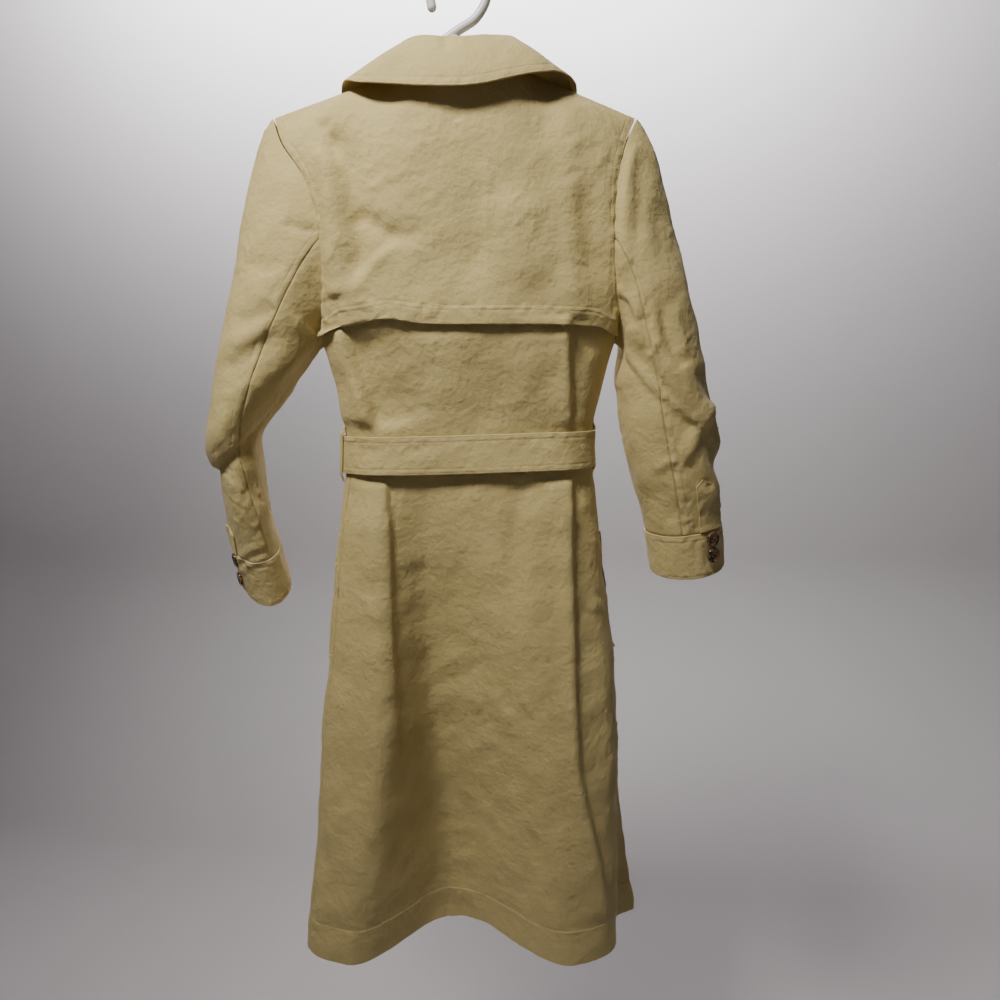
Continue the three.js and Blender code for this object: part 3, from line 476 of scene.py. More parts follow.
FLAP_CREASES = {
    "ridge down the left shoulder blade": ("ridge", 4.5, 11, 0.2, 0.05, [
        (314, 132), (326, 160), (331, 200), (334, 250), (337, 300)]),
    "hollow beside it": ("trough", 5.5, 15, 0.1, 0.2, [
        (330, 128), (346, 160), (354, 200), (359, 250), (364, 292)]),
    "pinch at its top": ("trough", 3.2, 7, 0.15, 0.4, [(322, 121), (330, 140), (338, 168)]),
    "left cross crease": ("trough", 3.2, 10, 0.2, 0.3, [(350, 212), (372, 222), (403, 244)]),
    "left cross ridge": ("ridge", 2.6, 8, 0.2, 0.3, [(352, 296), (376, 262), (404, 240)]),
    "long cross crease": ("trough", 1.5, 9, 0.25, 0.4, [(366, 262), (398, 236), (440, 228)]),
    "right bulge": ("ridge", 4.0, 28, 0.3, 0.3, [(505, 180), (520, 240), (530, 300)]),
    "right hollow": ("trough", 3.0, 18, 0.3, 0.3, [(585, 180), (590, 230), (592, 290)]),
    "middle hollow": ("trough", 2.4, 20, 0.3, 0.3, [(470, 160), (478, 230), (484, 300)]),
    "middle press line": ("ridge", 0.5, 3, 0.3, 0.3, [(486, 118), (487, 200), (488, 310)]),
    "short crease 1": ("ridge", 0.8, 4, 0.3, 0.3, [(365, 191), (380, 182), (393, 171)]),
    "short crease 2": ("ridge", 0.6, 4, 0.3, 0.3, [(385, 185), (400, 173), (412, 168)]),
    "short crease 3": ("trough", 0.7, 4, 0.3, 0.3, [(398, 205), (420, 198), (436, 186)]),
    "right shoulder crumple 1": ("ridge", 0.9, 5, 0.3, 0.3, [(566, 152), (580, 140), (594, 131)]),
    "right shoulder crumple 2": ("trough", 0.9, 5, 0.3, 0.3, [(572, 166), (590, 150), (607, 141)]),
    "right shoulder crumple 3": ("ridge", 0.8, 4, 0.3, 0.3, [(590, 178), (600, 161), (611, 150)]),
    "right shoulder crumple 4": ("trough", 0.7, 4, 0.3, 0.3, [(556, 186), (572, 173), (586, 168)]),
    "turned hem at the notch": ("ridge", 2.0, 7, 0.3, 0.05, [(358, 294), (370, 305), (381, 317)]),
}
BACK_CREASES = {
    "left side lying over the back": ("fold", 13, 26, 0.02, 0.02, [
        (343, 326), (352, 360), (365, 397), (377, 433)]),
    "shade beside it": ("trough", 5, 24, 0.1, 0.1, [(368, 330), (378, 370), (388, 400), (396, 432)]),
    "ridge below the notch": ("ridge", 2.0, 13, 0.05, 0.1, [
        (381, 314), (388, 360), (392, 400), (398, 432)]),
    "right side turned under": ("fold", 9, 24, 0.02, 0.02, [(570.5, 316), (571, 370), (572, 430)]),
    "ridge at the right side": ("ridge", 2.5, 9, 0.15, 0.1, [(594, 345), (588, 380), (580, 430)]),
    "soft ridge above the belt": ("ridge", 1.2, 16, 0.3, 0.1, [(520, 340), (526, 380), (528, 430)]),
    "soft hollow above the belt": ("trough", 1.2, 14, 0.3, 0.1, [(470, 350), (480, 390), (490, 430)]),
    "waist crease 1": ("ridge", 0.7, 4, 0.3, 0.3, [(393, 374), (407, 364), (420, 360)]),
    "waist crease 2": ("ridge", 0.6, 4, 0.3, 0.3, [(400, 394), (412, 386), (426, 385)]),
    "waist crease 3": ("trough", 0.8, 6, 0.3, 0.3, [(410, 400), (430, 412), (440, 428)]),
    "edge of the left flute": ("fold", 7, 26, 0.02, 0.75, [
        (386, 470), (391, 530), (392, 578), (395, 667), (399, 758), (400, 790), (393, 834), (386, 862)]),
    "light on the left flute": ("ridge", 2.4, 15, 0.1, 0.3, [
        (372, 476), (378, 560), (380, 650), (382, 760), (374, 850)]),
    "plane change of the right flute": ("trough", 4.0, 17, 0.05, 0.4, [
        (521, 474), (517, 531), (510, 590), (500, 640)]),
    "edge of the right flute": ("fold", 9, 28, 0.02, 0.05, [
        (572, 466), (573, 529), (575, 621), (577, 700), (580, 765), (586, 800), (596, 840), (604, 880),
        (612, 932)]),
    "catch on the right side": ("ridge", 1.8, 9, 0.3, 0.3, [(588, 612), (606, 600)]),
    "right side ridge": ("ridge", 1.6, 10, 0.2, 0.3, [(600, 640), (608, 720), (612, 800)]),
    "seat crease 1": ("trough", 1.2, 8, 0.3, 0.3, [(430, 684), (460, 674), (496, 659)]),
    "seat crease 2": ("ridge", 1.5, 6, 0.2, 0.3, [(492, 688), (500, 706), (515, 728)]),
    "seat crease 3": ("ridge", 0.9, 5, 0.3, 0.3, [(462, 641), (476, 637), (492, 639)]),
    "seat crease 4": ("trough", 1.1, 9, 0.3, 0.3, [(438, 700), (470, 712), (502, 737)]),
    "seat crease 5": ("ridge", 1.0, 7, 0.3, 0.3, [(452, 762), (480, 745), (508, 742)]),
    "seat crease 6": ("ridge", 1.1, 7, 0.3, 0.3, [(520, 690), (536, 716), (548, 722)]),
    "lower crease 1": ("trough", 1.3, 9, 0.3, 0.3, [(498, 795), (508, 830), (512, 856)]),
    "lower crease 2": ("ridge", 1.2, 7, 0.3, 0.3, [(426, 840), (450, 828), (482, 832)]),
    "lower crease 3": ("ridge", 1.0, 6, 0.3, 0.3, [(438, 872), (458, 858), (480, 861)]),
    "lower crease 4": ("trough", 1.1, 7, 0.3, 0.3, [(518, 815), (534, 845), (546, 884)]),
    "lower crease 5": ("ridge", 0.9, 6, 0.3, 0.3, [(410, 880), (424, 856), (440, 840)]),
    "lower crease 6": ("ridge", 0.9, 7, 0.3, 0.3, [(556, 806), (566, 836), (580, 850)]),
    "small fold at the left edge": ("fold", 4.5, 9, 0.2, 0.2, [(330, 874), (326, 832), (327, 803)]),
    "left flute crease 1": ("ridge", 1.0, 7, 0.3, 0.3, [(342, 690), (348, 722), (356, 744)]),
    "left flute crease 2": ("ridge", 1.0, 7, 0.3, 0.3, [(336, 776), (344, 806), (354, 822)]),
    "left flute crease 3": ("trough", 1.2, 8, 0.3, 0.3, [(374, 838), (366, 880), (360, 912)]),
    "left flute crease 4": ("ridge", 0.9, 5, 0.3, 0.3, [(366, 590), (372, 612), (384, 622)]),
}
LEFT_SLEEVE_CREASES = {
    "cap pucker 1": ("trough", 2.4, 5, 0.2, 0.1, [(288, 158), (299, 180), (313, 204)]),
    "cap pucker 2": ("trough", 2.2, 5, 0.3, 0.1, [(282, 222), (300, 229), (318, 233)]),
    "cap pucker 3": ("trough", 1.8, 4, 0.3, 0.1, [(276, 135), (284, 141), (291, 144)]),
    "cap ridge": ("ridge", 1.6, 7, 0.2, 0.2, [(292, 150), (306, 178), (319, 206)]),
    "upper arm hollow 1": ("trough", 2.0, 11, 0.3, 0.3, [(240, 258), (262, 268), (292, 262)]),
    "upper arm hollow 2": ("trough", 2.8, 10, 0.3, 0.3, [(230, 328), (252, 318), (280, 304)]),
    "upper arm ridge": ("ridge", 1.8, 10, 0.3, 0.3, [(224, 347), (250, 338), (274, 323)]),
    "upper arm hollow 3": ("trough", 3.0, 10, 0.2, 0.3, [(220, 374), (240, 361), (264, 342), (284, 324)]),
    "lower ridge": ("ridge", 1.6, 9, 0.3, 0.3, [(222, 402), (240, 390), (262, 378)]),
    "elbow fold": ("fold", 9, 30, 0.02, 0.02, [
        (326, 339), (300, 371), (278, 400), (257, 425), (236, 447), (217, 470)]),
    "forearm ridge": ("ridge", 1.8, 9, 0.2, 0.2, [(230, 470), (238, 507), (248, 545), (254, 575)]),
    "forearm hollow": ("trough", 1.6, 8, 0.2, 0.3, [(246, 440), (251, 480), (258, 520)]),
    "cuff crease 1": ("ridge", 1.2, 4, 0.1, 0.3, [(236, 562), (250, 549), (264, 545)]),
    "cuff crease 2": ("ridge", 1.2, 4, 0.1, 0.3, [(239, 574), (252, 562), (270, 556)]),
    "cuff crease 3": ("trough", 1.0, 4, 0.2, 0.3, [(242, 568), (256, 554), (268, 550)]),
}
RIGHT_SLEEVE_CREASES = {
    "elbow fold": ("fold", 6, 22, 0.06, 0.02, [
        (698, 426), (682, 416), (664, 401), (645, 383), (627, 360), (613, 335)]),
    "fold behind the seam": ("trough", 2.6, 5, 0.3, 0.1, [(640, 306), (645, 330), (649, 355)]),
    "ridge behind the seam": ("ridge", 1.8, 7, 0.3, 0.2, [(650, 300), (655, 330), (658, 356)]),
    "long crease": ("trough", 3.0, 7, 0.3, 0.05, [(659, 300), (668, 332), (674, 352), (684, 368)]),
    "ridge along it": ("ridge", 1.8, 7, 0.3, 0.2, [(671, 300), (679, 330), (687, 358)]),
    "crease at the outer edge": ("trough", 2.8, 6, 0.2, 0.05, [(697, 366), (706, 385), (716, 401)]),
    "lit ridge below the elbow": ("ridge", 3.2, 8, 0.05, 0.3, [
        (716, 402), (701, 425), (689, 450), (675, 464)]),
    "hollow below it": ("trough", 2.0, 7, 0.2, 0.2, [(686, 460), (700, 481), (714, 487)]),
    "forearm crease": ("ridge", 1.4, 4, 0.3, 0.2, [(653, 472), (666, 463), (679, 459)]),
    "forearm ridge": ("ridge", 1.5, 13, 0.2, 0.3, [(630, 400), (640, 450), (650, 505)]),
    "cuff hollow": ("trough", 1.3, 9, 0.3, 0.1, [(660, 482), (667, 505), (673, 524)]),
    "cuff ridge": ("ridge", 1.3, 7, 0.3, 0.1, [(672, 476), (683, 503), (690, 524)]),
    "roll at the armhole": ("ridge", 2.4, 8, 0.1, 0.2, [(628, 138), (626, 180), (625, 230), (623, 284)]),
    "hollow beside the roll": ("trough", 1.8, 8, 0.2, 0.3, [(640, 150), (640, 200), (637, 252)]),
    "armpit fold": ("fold", 5, 9, 0.1, 0.1, [(636, 322), (631, 306), (623, 297), (614, 291)]),
    "upper arm hollow": ("trough", 1.8, 12, 0.3, 0.3, [(655, 200), (662, 240), (668, 284)]),
    "upper arm ridge": ("ridge", 1.5, 10, 0.3, 0.3, [(676, 236), (684, 280), (692, 326)]),
    "overlap of the cuff": ("fold", 2.6, 8, 0.02, 0.02, [(697, 574), (697.5, 550), (700.5, 526)]),
}
BELT_CREASES = {
    "pull at the loop": ("trough", 0.9, 6, 0.1, 0.3, [(354, 440), (366, 452), (384, 449)]),
    "long ridge": ("ridge", 0.8, 5, 0.3, 0.3, [(472, 439), (450, 451), (424, 461)]),
    "short hollow": ("trough", 0.7, 5, 0.3, 0.3, [(436, 440), (420, 449), (404, 453)]),
    "right ridge": ("ridge", 0.7, 6, 0.3, 0.3, [(530, 440), (548, 450), (562, 451)]),
}
COLLAR_CREASES = {
    "dent beside the hook": ("trough", 2.2, 6, 0.05, 0.4, [(444, 33), (445, 44), (450, 56)]),
    "soft hollow": ("trough", 1.0, 10, 0.3, 0.3, [(462, 44), (482, 56), (512, 58)]),
    "soft ridge": ("ridge", 0.8, 9, 0.3, 0.3, [(380, 62), (410, 66), (440, 62)]),
}

# Paths on the front of the coat are x and z in millimetres
FRONT_CREASES = {
    "chest drape right": ("trough", 2.0, 11, 0.2, 0.3, [(120, -215), (104, -262), (98, -330)]),
    "chest drape left": ("trough", 2.2, 11, 0.2, 0.3, [(-118, -218), (-100, -270), (-96, -345)]),
    "chest ridge right": ("ridge", 1.6, 12, 0.2, 0.3, [(138, -226), (126, -280), (124, -340)]),
    "gather right 1": ("ridge", 2.2, 8, 0.3, 0.02, [(96, -400), (90, -440), (86, -480)]),
    "gather right 2": ("trough", 2.4, 8, 0.3, 0.02, [(116, -390), (108, -440), (104, -480)]),
    "gather left 1": ("ridge", 2.2, 8, 0.3, 0.02, [(-84, -396), (-76, -440), (-72, -480)]),
    "gather left 2": ("trough", 2.2, 8, 0.3, 0.02, [(-104, -400), (-96, -440), (-92, -480)]),
    "skirt fold right": ("fold", 3.2, 22, 0.02, 0.3, [
        (92, -532), (104, -640), (112, -800), (118, -1000)]),
    "skirt fold left": ("fold", 3.0, 22, 0.3, 0.02, [
        (-112, -1010), (-104, -820), (-92, -660), (-84, -532)]),
    "skirt hollow": ("trough", 2.4, 18, 0.1, 0.3, [(-10, -534), (-16, -700), (-22, -960)]),
    "skirt crease 1": ("ridge", 1.2, 7, 0.3, 0.3, [(20, -760), (48, -778), (70, -804)]),
    "skirt crease 2": ("trough", 1.2, 8, 0.3, 0.3, [(-60, -880), (-30, -900), (10, -896)]),
    "skirt crease 3": ("ridge", 1.1, 7, 0.3, 0.3, [(40, -980), (70, -1000), (92, -1034)]),
    "sleeve right elbow": ("trough", 3.0, 8, 0.1, 0.3, [(196, -380), (232, -424), (268, -446)]),
    "sleeve right ridge": ("ridge", 2.0, 9, 0.2, 0.3, [(206, -350), (240, -392), (276, -420)]),
    "sleeve right hollow": ("trough", 1.8, 9, 0.3, 0.3, [(240, -476), (258, -520), (266, -566)]),
    "sleeve left elbow": ("trough", 3.0, 8, 0.1, 0.3, [(-192, -384), (-228, -430), (-266, -458)]),
    "sleeve left ridge": ("ridge", 2.0, 9, 0.2, 0.3, [(-206, -350), (-238, -398), (-272, -430)]),
    "sleeve left hollow": ("trough", 1.8, 9, 0.3, 0.3, [(-254, -490), (-262, -540), (-258, -590)]),
}


def path_reach(places, path):
    """Signed distance of places from a path, positive on its right hand, and the share along it."""
    path = np.array(path, float)
    steps = np.diff(path, axis=0)
    lengths = np.linalg.norm(steps, axis=1)
    before = np.concatenate([[0], np.cumsum(lengths)])
    nearest, signed, along = (np.full(len(places), value) for value in (1e9, 0.0, 0.0))
    for start, step, length, run in zip(path[:-1], steps, lengths, before):
        off = places - start
        share = np.clip(off @ step / length ** 2, 0, 1)
        away = np.linalg.norm(off - share[:, None] * step, axis=1)
        hand = np.sign(step[0] * off[:, 1] - step[1] * off[:, 0])
        closer = away < nearest
        nearest = np.where(closer, away, nearest)
        signed = np.where(closer, away * hand, signed)
        along = np.where(closer, (run + share * length) / before[-1], along)
    return signed, along


def crease_relief(places, creases, scale):
    """Rise of the cloth at places of a plane, from creases drawn on it."""
    total = np.zeros(len(places))
    for row in creases.values():
        crease = dict(zip(CREASE_COLUMNS, row))
        path, width = np.array(crease["path"], float), crease["width"]
        margin = 3 * width / scale
        near = np.all((places > path.min(0) - margin) & (places < path.max(0) + margin), axis=1)
        if not near.any():
            continue
        off, along = path_reach(places[near], path)
        off = off * scale
        fade = smooth(along / crease["fade_in"]) * smooth((1 - along) / crease["fade_out"])
        if crease["kind"] == "fold":
            over = 1 / (1 + np.exp(-np.clip(off / FOLD_EDGE, -30, 30)))
            under = (1 - over) * np.exp(-np.abs(off) / (0.7 * width))
            rise = 0.6 * over * np.exp(-np.abs(off) / width) - 0.4 * under
        else:
            rise = bell(off, width) * (1 if crease["kind"] == "ridge" else -1)
        total[near] += crease["rise"] * rise * fade
    return total


def waves(points, size, seed, count=20):
    """Smooth noise in space, of about unit strength."""
    rng = np.random.default_rng(seed)
    ways = unit(rng.normal(size=(count, 3))) / (size * rng.uniform(0.7, 1.6, count))[:, None]
    phases = rng.uniform(0, 2 * np.pi, count)
    return np.sin(points @ ways.T * 2 * np.pi + phases).sum(-1) / math.sqrt(count / 2)


CRUMPLE_SIZE = 34
CRUMPLE_SHARPNESS = 0.16


def crumple(points):
    """Short sharp lines, as cotton keeps where it was crushed."""
    lines = bell(waves(points, CRUMPLE_SIZE, 3), CRUMPLE_SHARPNESS)
    lines += bell(waves(points, CRUMPLE_SIZE * 0.6, 4), CRUMPLE_SHARPNESS)
    return lines * smooth(waves(points, 60, 5) * 0.8)


BODY_CREASES = {**FLAP_CREASES, **BACK_CREASES}
SLEEVE_CREASES = {1: RIGHT_SLEEVE_CREASES, -1: LEFT_SLEEVE_CREASES}
HELD_BELOW_BELT = 26
HELD_FADE = 14


def cloth_relief(points, normals, creases, looseness):
    """Rise of hanging cloth over its smooth form: creases, soft undulation and crumple."""
    flat = points.reshape(-1, 3)
    facing = normals[..., 1].ravel()
    looks = bpy.context.scene.coat_looks
    rise = smooth((-0.12 - facing) / 0.35) * crease_relief(seen_at(flat), creases, POINT_SIZE)
    if creases not in (BELT_CREASES, COLLAR_CREASES):
        rise += smooth((facing - 0.12) / 0.35) * crease_relief(flat[:, [0, 2]], FRONT_CREASES, 1.0)
    rise *= looks.crease_strength
    noise = looks.undulation * (0.7 * waves(flat, 85, 1) + 0.4 * waves(flat, 38, 2))
    rise += looseness * (noise + looks.crumple * crumple(flat)) / MM
    if creases is BODY_CREASES:
        off_belt = np.abs(flat[:, 2] - (BELT_TOP + BELT_BOTTOM) / 2)
        rise *= 0.12 + 0.88 * smooth((off_belt - HELD_BELOW_BELT) / HELD_FADE)
    return rise.reshape(points.shape[:-1])


# Grids of cloth. Their lines are closer together along an edge and along each row of stitches
ROUNDING = (0, 0.5, 1.2, 2.4)
NEAR_SEWING = (-2.0, -1.0, -0.45, 0, 0.45, 1.0, 2.0)
LEAST_STEP = 0.4
ROUGH_LINES = 220


def edge_places(rows, step):
    """Distances from an edge where a grid needs lines, for its rounding and its rows of stitches."""
    wanted = sorted({*ROUNDING, *(row + near for row in rows for near in NEAR_SEWING)})
    places = [wanted[0]]
    for place in wanted[1:]:
        start, gap = places[-1], place - places[-1]
        if gap < LEAST_STEP:
            continue
        parts = int(gap / step) + 1
        places += [start + gap * k / parts for k in range(1, parts + 1)]
    return np.array(places)


def sewn_lines(lengths, step, near, far):
    """Distances along paths of some lengths: fixed near both ends and even between them."""
    start, end = edge_places(near, step), edge_places(far, step)
    lengths = np.asarray(lengths)[:, None]
    room = np.minimum(1, 0.8 * lengths / (start[-1] + end[-1]))
    start, end = start * room, end * room
    count = max(int(np.max(lengths) / step), 2)
    share = np.linspace(0, 1, count + 1)[1:-1]
    between = start[:, -1:] + (lengths - start[:, -1:] - end[:, -1:]) * share
    return np.hstack([start, between, lengths - end[:, ::-1]])


def run_along(grid, axis):
    """Distance run along the lines of a grid."""
    lengths = np.linalg.norm(np.diff(grid, axis=axis), axis=-1)
    run = np.cumsum(lengths, axis=axis)
    return np.concatenate([np.zeros_like(np.take(run, [0], axis)), run], axis)


def cloth_grid(surface, across, down, steps, sewn, loop):
    """Points of a surface with their columns' and rows' values, in lines that suit its sewing."""
    s, v = np.linspace(*across, ROUGH_LINES), np.linspace(*down, ROUGH_LINES)
    rough = surface(*np.meshgrid(s, v))
    run = run_along(rough, 0)
    wanted = sewn_lines(run[-1], steps[1], sewn["top"], sewn["bottom"])
    rows = np.stack([np.interp(w, r, v) for w, r in zip(wanted, run.T)], -1)
    if loop:
        count = int(np.max(run_along(rough, 1)[:, -1]) / steps[0])
        columns = np.linspace(*across, count, endpoint=False)
        columns = np.broadcast_to(columns, (len(rows), count))
        rows = np.array([np.interp(c, s, r) for c, r in zip(columns, rows)])
        return surface(columns, rows), columns, rows
    run = run_along(surface(np.broadcast_to(s, rows.shape), rows), 1)
    wanted = sewn_lines(run[:, -1], steps[0], sewn["left"], sewn["right"])
    columns = np.array([np.interp(w, r, s) for w, r in zip(wanted, run)])
    rows = np.array([np.interp(c, s, r) for c, r in zip(columns, rows)])
    return surface(columns, rows), columns, rows


def outward(grid, hand, loop):
    if loop:
        across = np.roll(grid, -1, axis=1) - np.roll(grid, 1, axis=1)
    else:
        across = np.gradient(grid, axis=1)
    return unit(np.cross(np.gradient(grid, axis=0), across) * hand)


EDGES = ("top", "bottom", "left", "right")


def reach_from_edges(grid, loop):
    """Distance of each point from the four edges of a grid, along the cloth."""
    down, along = run_along(grid, 0), run_along(grid, 1)
    far = np.full(down.shape, 1e6)
    sides = (far, far) if loop else (along, along[:, -1:] - along)
    return dict(zip(EDGES, (down, down[-1] - down, *sides)))


def closed_wall(name, outer, inner, rim, hand, loop, marks):
    """Mesh of a closed wall between two grids, with a row of points that rounds each free edge."""
    rows, columns = outer.shape[:2]
    j, i = np.mgrid[0:rows - 1, 0:columns if loop else columns - 1]
    corners = ((j, i), (j + 1, i), (j + 1, i + 1), (j, i + 1))
    front = np.stack([a * columns + b % columns for a, b in corners], -1).reshape(-1, 4)
    front_uv = np.stack([a * (columns + 1) + b for a, b in corners], -1).reshape(-1, 4)
    count = rows * columns
    top, bottom = np.arange(columns), count - 1 - np.arange(columns)
    if loop:
        rings = [top, bottom]
    else:
        right, left = np.arange(rows) * columns + columns - 1, np.arange(rows)[::-1] * columns
        rings = [np.concatenate([part[:-1] for part in (top, right, bottom, left)])]
    quads, uv_at = [front, front[:, ::-1] + count], [front_uv, front_uv[:, ::-1]]
    points = [outer.reshape(-1, 3), inner.reshape(-1, 3)]
    parents = [np.arange(count), np.arange(count)]
    start = 2 * count
    for ring in rings:
        middle = start + np.arange(len(ring))
        after, next_middle = np.roll(ring, -1), np.roll(middle, -1)
        quads.append(np.stack([ring, after, next_middle, middle], -1))
        quads.append(np.stack([middle, next_middle, after + count, ring + count], -1))
        ring_uv = np.stack([ring // columns * (columns + 1) + ring % columns] * 4, -1)
        uv_at += [ring_uv, ring_uv]
        points.append(rim.reshape(-1, 3)[ring])
        parents.append(ring)
        start += len(ring)
    quads, uv_at, parents = np.vstack(quads), np.vstack(uv_at), np.concatenate(parents)
    if hand < 0:
        quads, uv_at = quads[:, ::-1], uv_at[:, ::-1]
    mesh = bpy.data.meshes.new(name)
    mesh.from_pydata((np.vstack(points) * MM).tolist(), [], quads.tolist())
    mesh.polygons.foreach_set("use_smooth", np.ones(len(quads), bool))
    closing = outer[:, :1] if loop else outer[:, -1:]
    along, down = run_along(np.hstack([outer, closing]), 1), run_along(outer, 0)
    down = np.hstack([down, down[:, :1] if loop else down[:, -1:]])
    uv = np.stack([along.ravel(), down.ravel()], -1)[uv_at.ravel()] * MM
    mesh.uv_layers.new(name="UVMap").data.foreach_set("uv", uv.ravel())
    for mark, values in marks.items():
        layer = mesh.attributes.new(mark, "FLOAT", "POINT")
        layer.data.foreach_set("value", values.ravel()[parents].astype(np.float32))
    return mesh


def window(values, start, end, soft):
    """One between two values of a column or row and none beyond them, with soft ends."""
    return smooth((values - start) / soft + 0.5) * smooth((end - values) / soft + 0.5)


HEM_STEP = 1.6
GROOVE_DEPTH = 0.3
GROOVE_WIDTH = 0.7
SEAM_DEPTH = 0.6
SEAM_WIDTH = 1.5
PUCKER_RISE = 0.3
PUCKER_SIZE = 9


def sewing_relief(points, reach, values, piece):
    """Fine rise of a piece beside its seams, hems and rows of stitches, and how deep its grooves are, which
    also sets their painted shade.
    """
    rise, groove = np.zeros(points.shape[:-1]), np.zeros(points.shape[:-1])
    pucker = waves(points.reshape(-1, 3), PUCKER_SIZE, 7).reshape(rise.shape)
    for edge, distance, start, end in piece["stitched"]:
        along = values["rows" if edge in ("left", "right") else "columns"]
        here = window(along, start, end, 0.04)
        off = reach[edge] - distance
        groove += here * bell(off, GROOVE_WIDTH)
        rise += here * PUCKER_RISE * piece["looseness"] * pucker * bell(off, 5)
    for edge, depth, height in piece["hems"]:
        rise += height * smooth((depth - reach[edge]) / HEM_STEP + 0.5)
    for edge, start, end in piece["joined"]:
        along = values["rows" if edge in ("left", "right") else "columns"]
        dip = bell(reach[edge], SEAM_WIDTH) * window(along, start, end, 0.04)
        rise -= SEAM_DEPTH * dip
        groove += 0.8 * dip
    return rise - GROOVE_DEPTH * groove, np.clip(groove, 0, 1)


def calm(reach, values, piece):
    """How freely the cloth may wrinkle: not at all along a seam that another piece shares."""
    free = np.ones_like(reach["top"])
    for edge, distance, start, end in piece["held"]:
        along = values["rows" if edge in ("left", "right") else "columns"]
        free *= 1 - window(along, start, end, 0.06) * smooth(1 - reach[edge] / distance)
    return free


def flat_size(points, loop):
    """Width, length and area in metres that a piece was cut to."""
    across, down = run_along(points, 1)[:, -1], run_along(points, 0)[-1]
    right, below = np.diff(points, axis=1)[:-1], np.diff(points, axis=0)[:, :-1]
    area = np.linalg.norm(np.cross(right, below), axis=-1).sum() * MM * MM
    width, length = float(across.max() * MM), float(down.max() * MM)
    return (width, length), min(float(area), width * length)


PIECE_DEFAULTS = {
    "steps": (3.2, 3.6), "hand": 1, "lift": 0.0, "thick": WALL, "loop": False, "creases": BODY_CREASES,
    "looseness": 1.0, "stitched": (), "hems": (), "joined": (), "held": (), "lying": "hung",
    "rests_on": ("hanger",),
}


def sew_cloth(name, surface, across, down, **given):
    """One piece of cloth with its stitches, in place of the solid of that name."""
    piece = {**PIECE_DEFAULTS, **given}
    hand, loop, thick = piece["hand"], piece["loop"], piece["thick"]
    sewn = {edge: [row[1] for row in piece["stitched"] if row[0] == edge] for edge in EDGES}
    for edge, depth, _ in piece["hems"]:
        sewn[edge].append(depth)
    points, columns, rows = cloth_grid(surface, across, down, piece["steps"], sewn, loop)
    values = {"columns": columns, "rows": rows}
    normals, reach = outward(points, hand, loop), reach_from_edges(points, loop)
    relief = cloth_relief(points, normals, piece["creases"], piece["looseness"])
    relief *= calm(reach, values, piece)
    fine, groove = sewing_relief(points, reach, values, piece)
    lift = piece["lift"](columns, rows) if callable(piece["lift"]) else piece["lift"]
    nearest = np.min([reach[edge] for edge in EDGES], axis=0)
    drawn = points.copy()
    if not loop:
        drawn[:, 0] += unit(points[:, 1] - points[:, 0]) * GAP / 2
        drawn[:, -1] += unit(points[:, -2] - points[:, -1]) * GAP / 2
    drawn[0] += unit(points[1] - points[0]) * GAP / 2
    drawn[-1] += unit(points[-2] - points[-1]) * GAP / 2
    rounded = 0.3 * thick * bell(nearest, 0.45)
    rise = (lift + relief)[..., None]
    outer = drawn + normals * (rise + (fine - rounded)[..., None])
    inner = drawn + normals * (rise - (thick - rounded)[..., None])
    # The groove mark sets painted shade in seams and stitch rows, the fold mark painted light on raised
    # cloth, and the wear mark paler worn edges
    marks = {"groove": groove, "wear": bell(nearest, 1.6), "fold": np.clip(relief / 4, -1, 1)}
    mesh = closed_wall(name, outer, inner, (outer + inner) / 2, hand, loop, marks)
    cloth = finished(name, mesh, cotton_gabardine(), "cotton_gabardine", name)
    if piece["stitched"]:
        stitch_rows(name, outer, normals, reach, values, piece)
    size, area = flat_size(points, loop)
    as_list(piece["rests_on"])
    return cloth


# Objects
def linked(name, mesh):
    made = bpy.data.objects.new(name, mesh)
    bpy.context.scene.collection.objects.link(made)
    return made


def finished(name, mesh, material, slot, *nodes):
    """A piece of the coat that stands for the solids of some nodes."""
    made = linked(name + "_piece", mesh)
    mesh.materials.clear()
    mesh.materials.append(material)
    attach(made, "root")
    if nodes:
        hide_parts(*nodes)
    return made


# Stitches
def row_of_points(outer, normals, reach, values, piece, row):
    """Points and outward directions along a row of stitches, at its distance from an edge."""
    edge, distance, start, end = row
    sideways = edge in ("left", "right")
    lines = (outer, normals, reach[edge][..., None], values["rows" if sideways else "columns"][..., None])
    if not sideways:
        lines = [np.swapaxes(line, 0, 1) for line in lines]
        others = [np.swapaxes(reach[other], 0, 1) for other in ("left", "right")]
    else:
        others = [reach[other] for other in ("top", "bottom")]
    found = []
    for k, (points, ways, off, along) in enumerate(zip(*lines)):
        off, order = off[:, 0], np.argsort(off[:, 0])
        at = [np.interp(distance, off[order], column[order]) for column in (*points.T, *ways.T, *along.T)]
        place = np.argmin(np.abs(off - distance))
        clear = min(other[k, place] for other in others) > min(distance, 3) * 0.9
        if start <= at[6] <= end and clear and off.max() > distance + 1:
            found.append(at[:6])
    return np.array(found)


def stitch_rows(name, outer, normals, reach, values, piece):
    """Stitches of a piece, one mesh made along all its rows."""
    looks = bpy.context.scene.coat_looks
    points, ways, edges = [], [], []
    for row in piece["stitched"]:
        found = row_of_points(outer, normals, reach, values, piece, row)
        if len(found) < 2:
            continue
        first, count = len(points), len(found)
        points += (found[:, :3] * MM).tolist()
        ways += found[:, 3:].tolist()
        edges += [(first + k, first + k + 1) for k in range(count - 1)]
        if piece["loop"]:
            edges.append((first + count - 1, first))
    mesh = bpy.data.meshes.new("rows")
    mesh.from_pydata(points, edges, [])
    mesh.attributes.new("out", "FLOAT_VECTOR", "POINT").data.foreach_set("vector", np.array(ways).ravel())
    sizes = {"Pitch": looks.stitch_pitch, "Length": looks.stitch_length,
             "Thickness": looks.stitch_thickness, "Thread": sewing_thread()}
    made = grown(linked("rows", mesh), stitch_tree(), sizes)
    made.name = made.data.name = "stitches_" + name
    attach(made, "root")
    return made


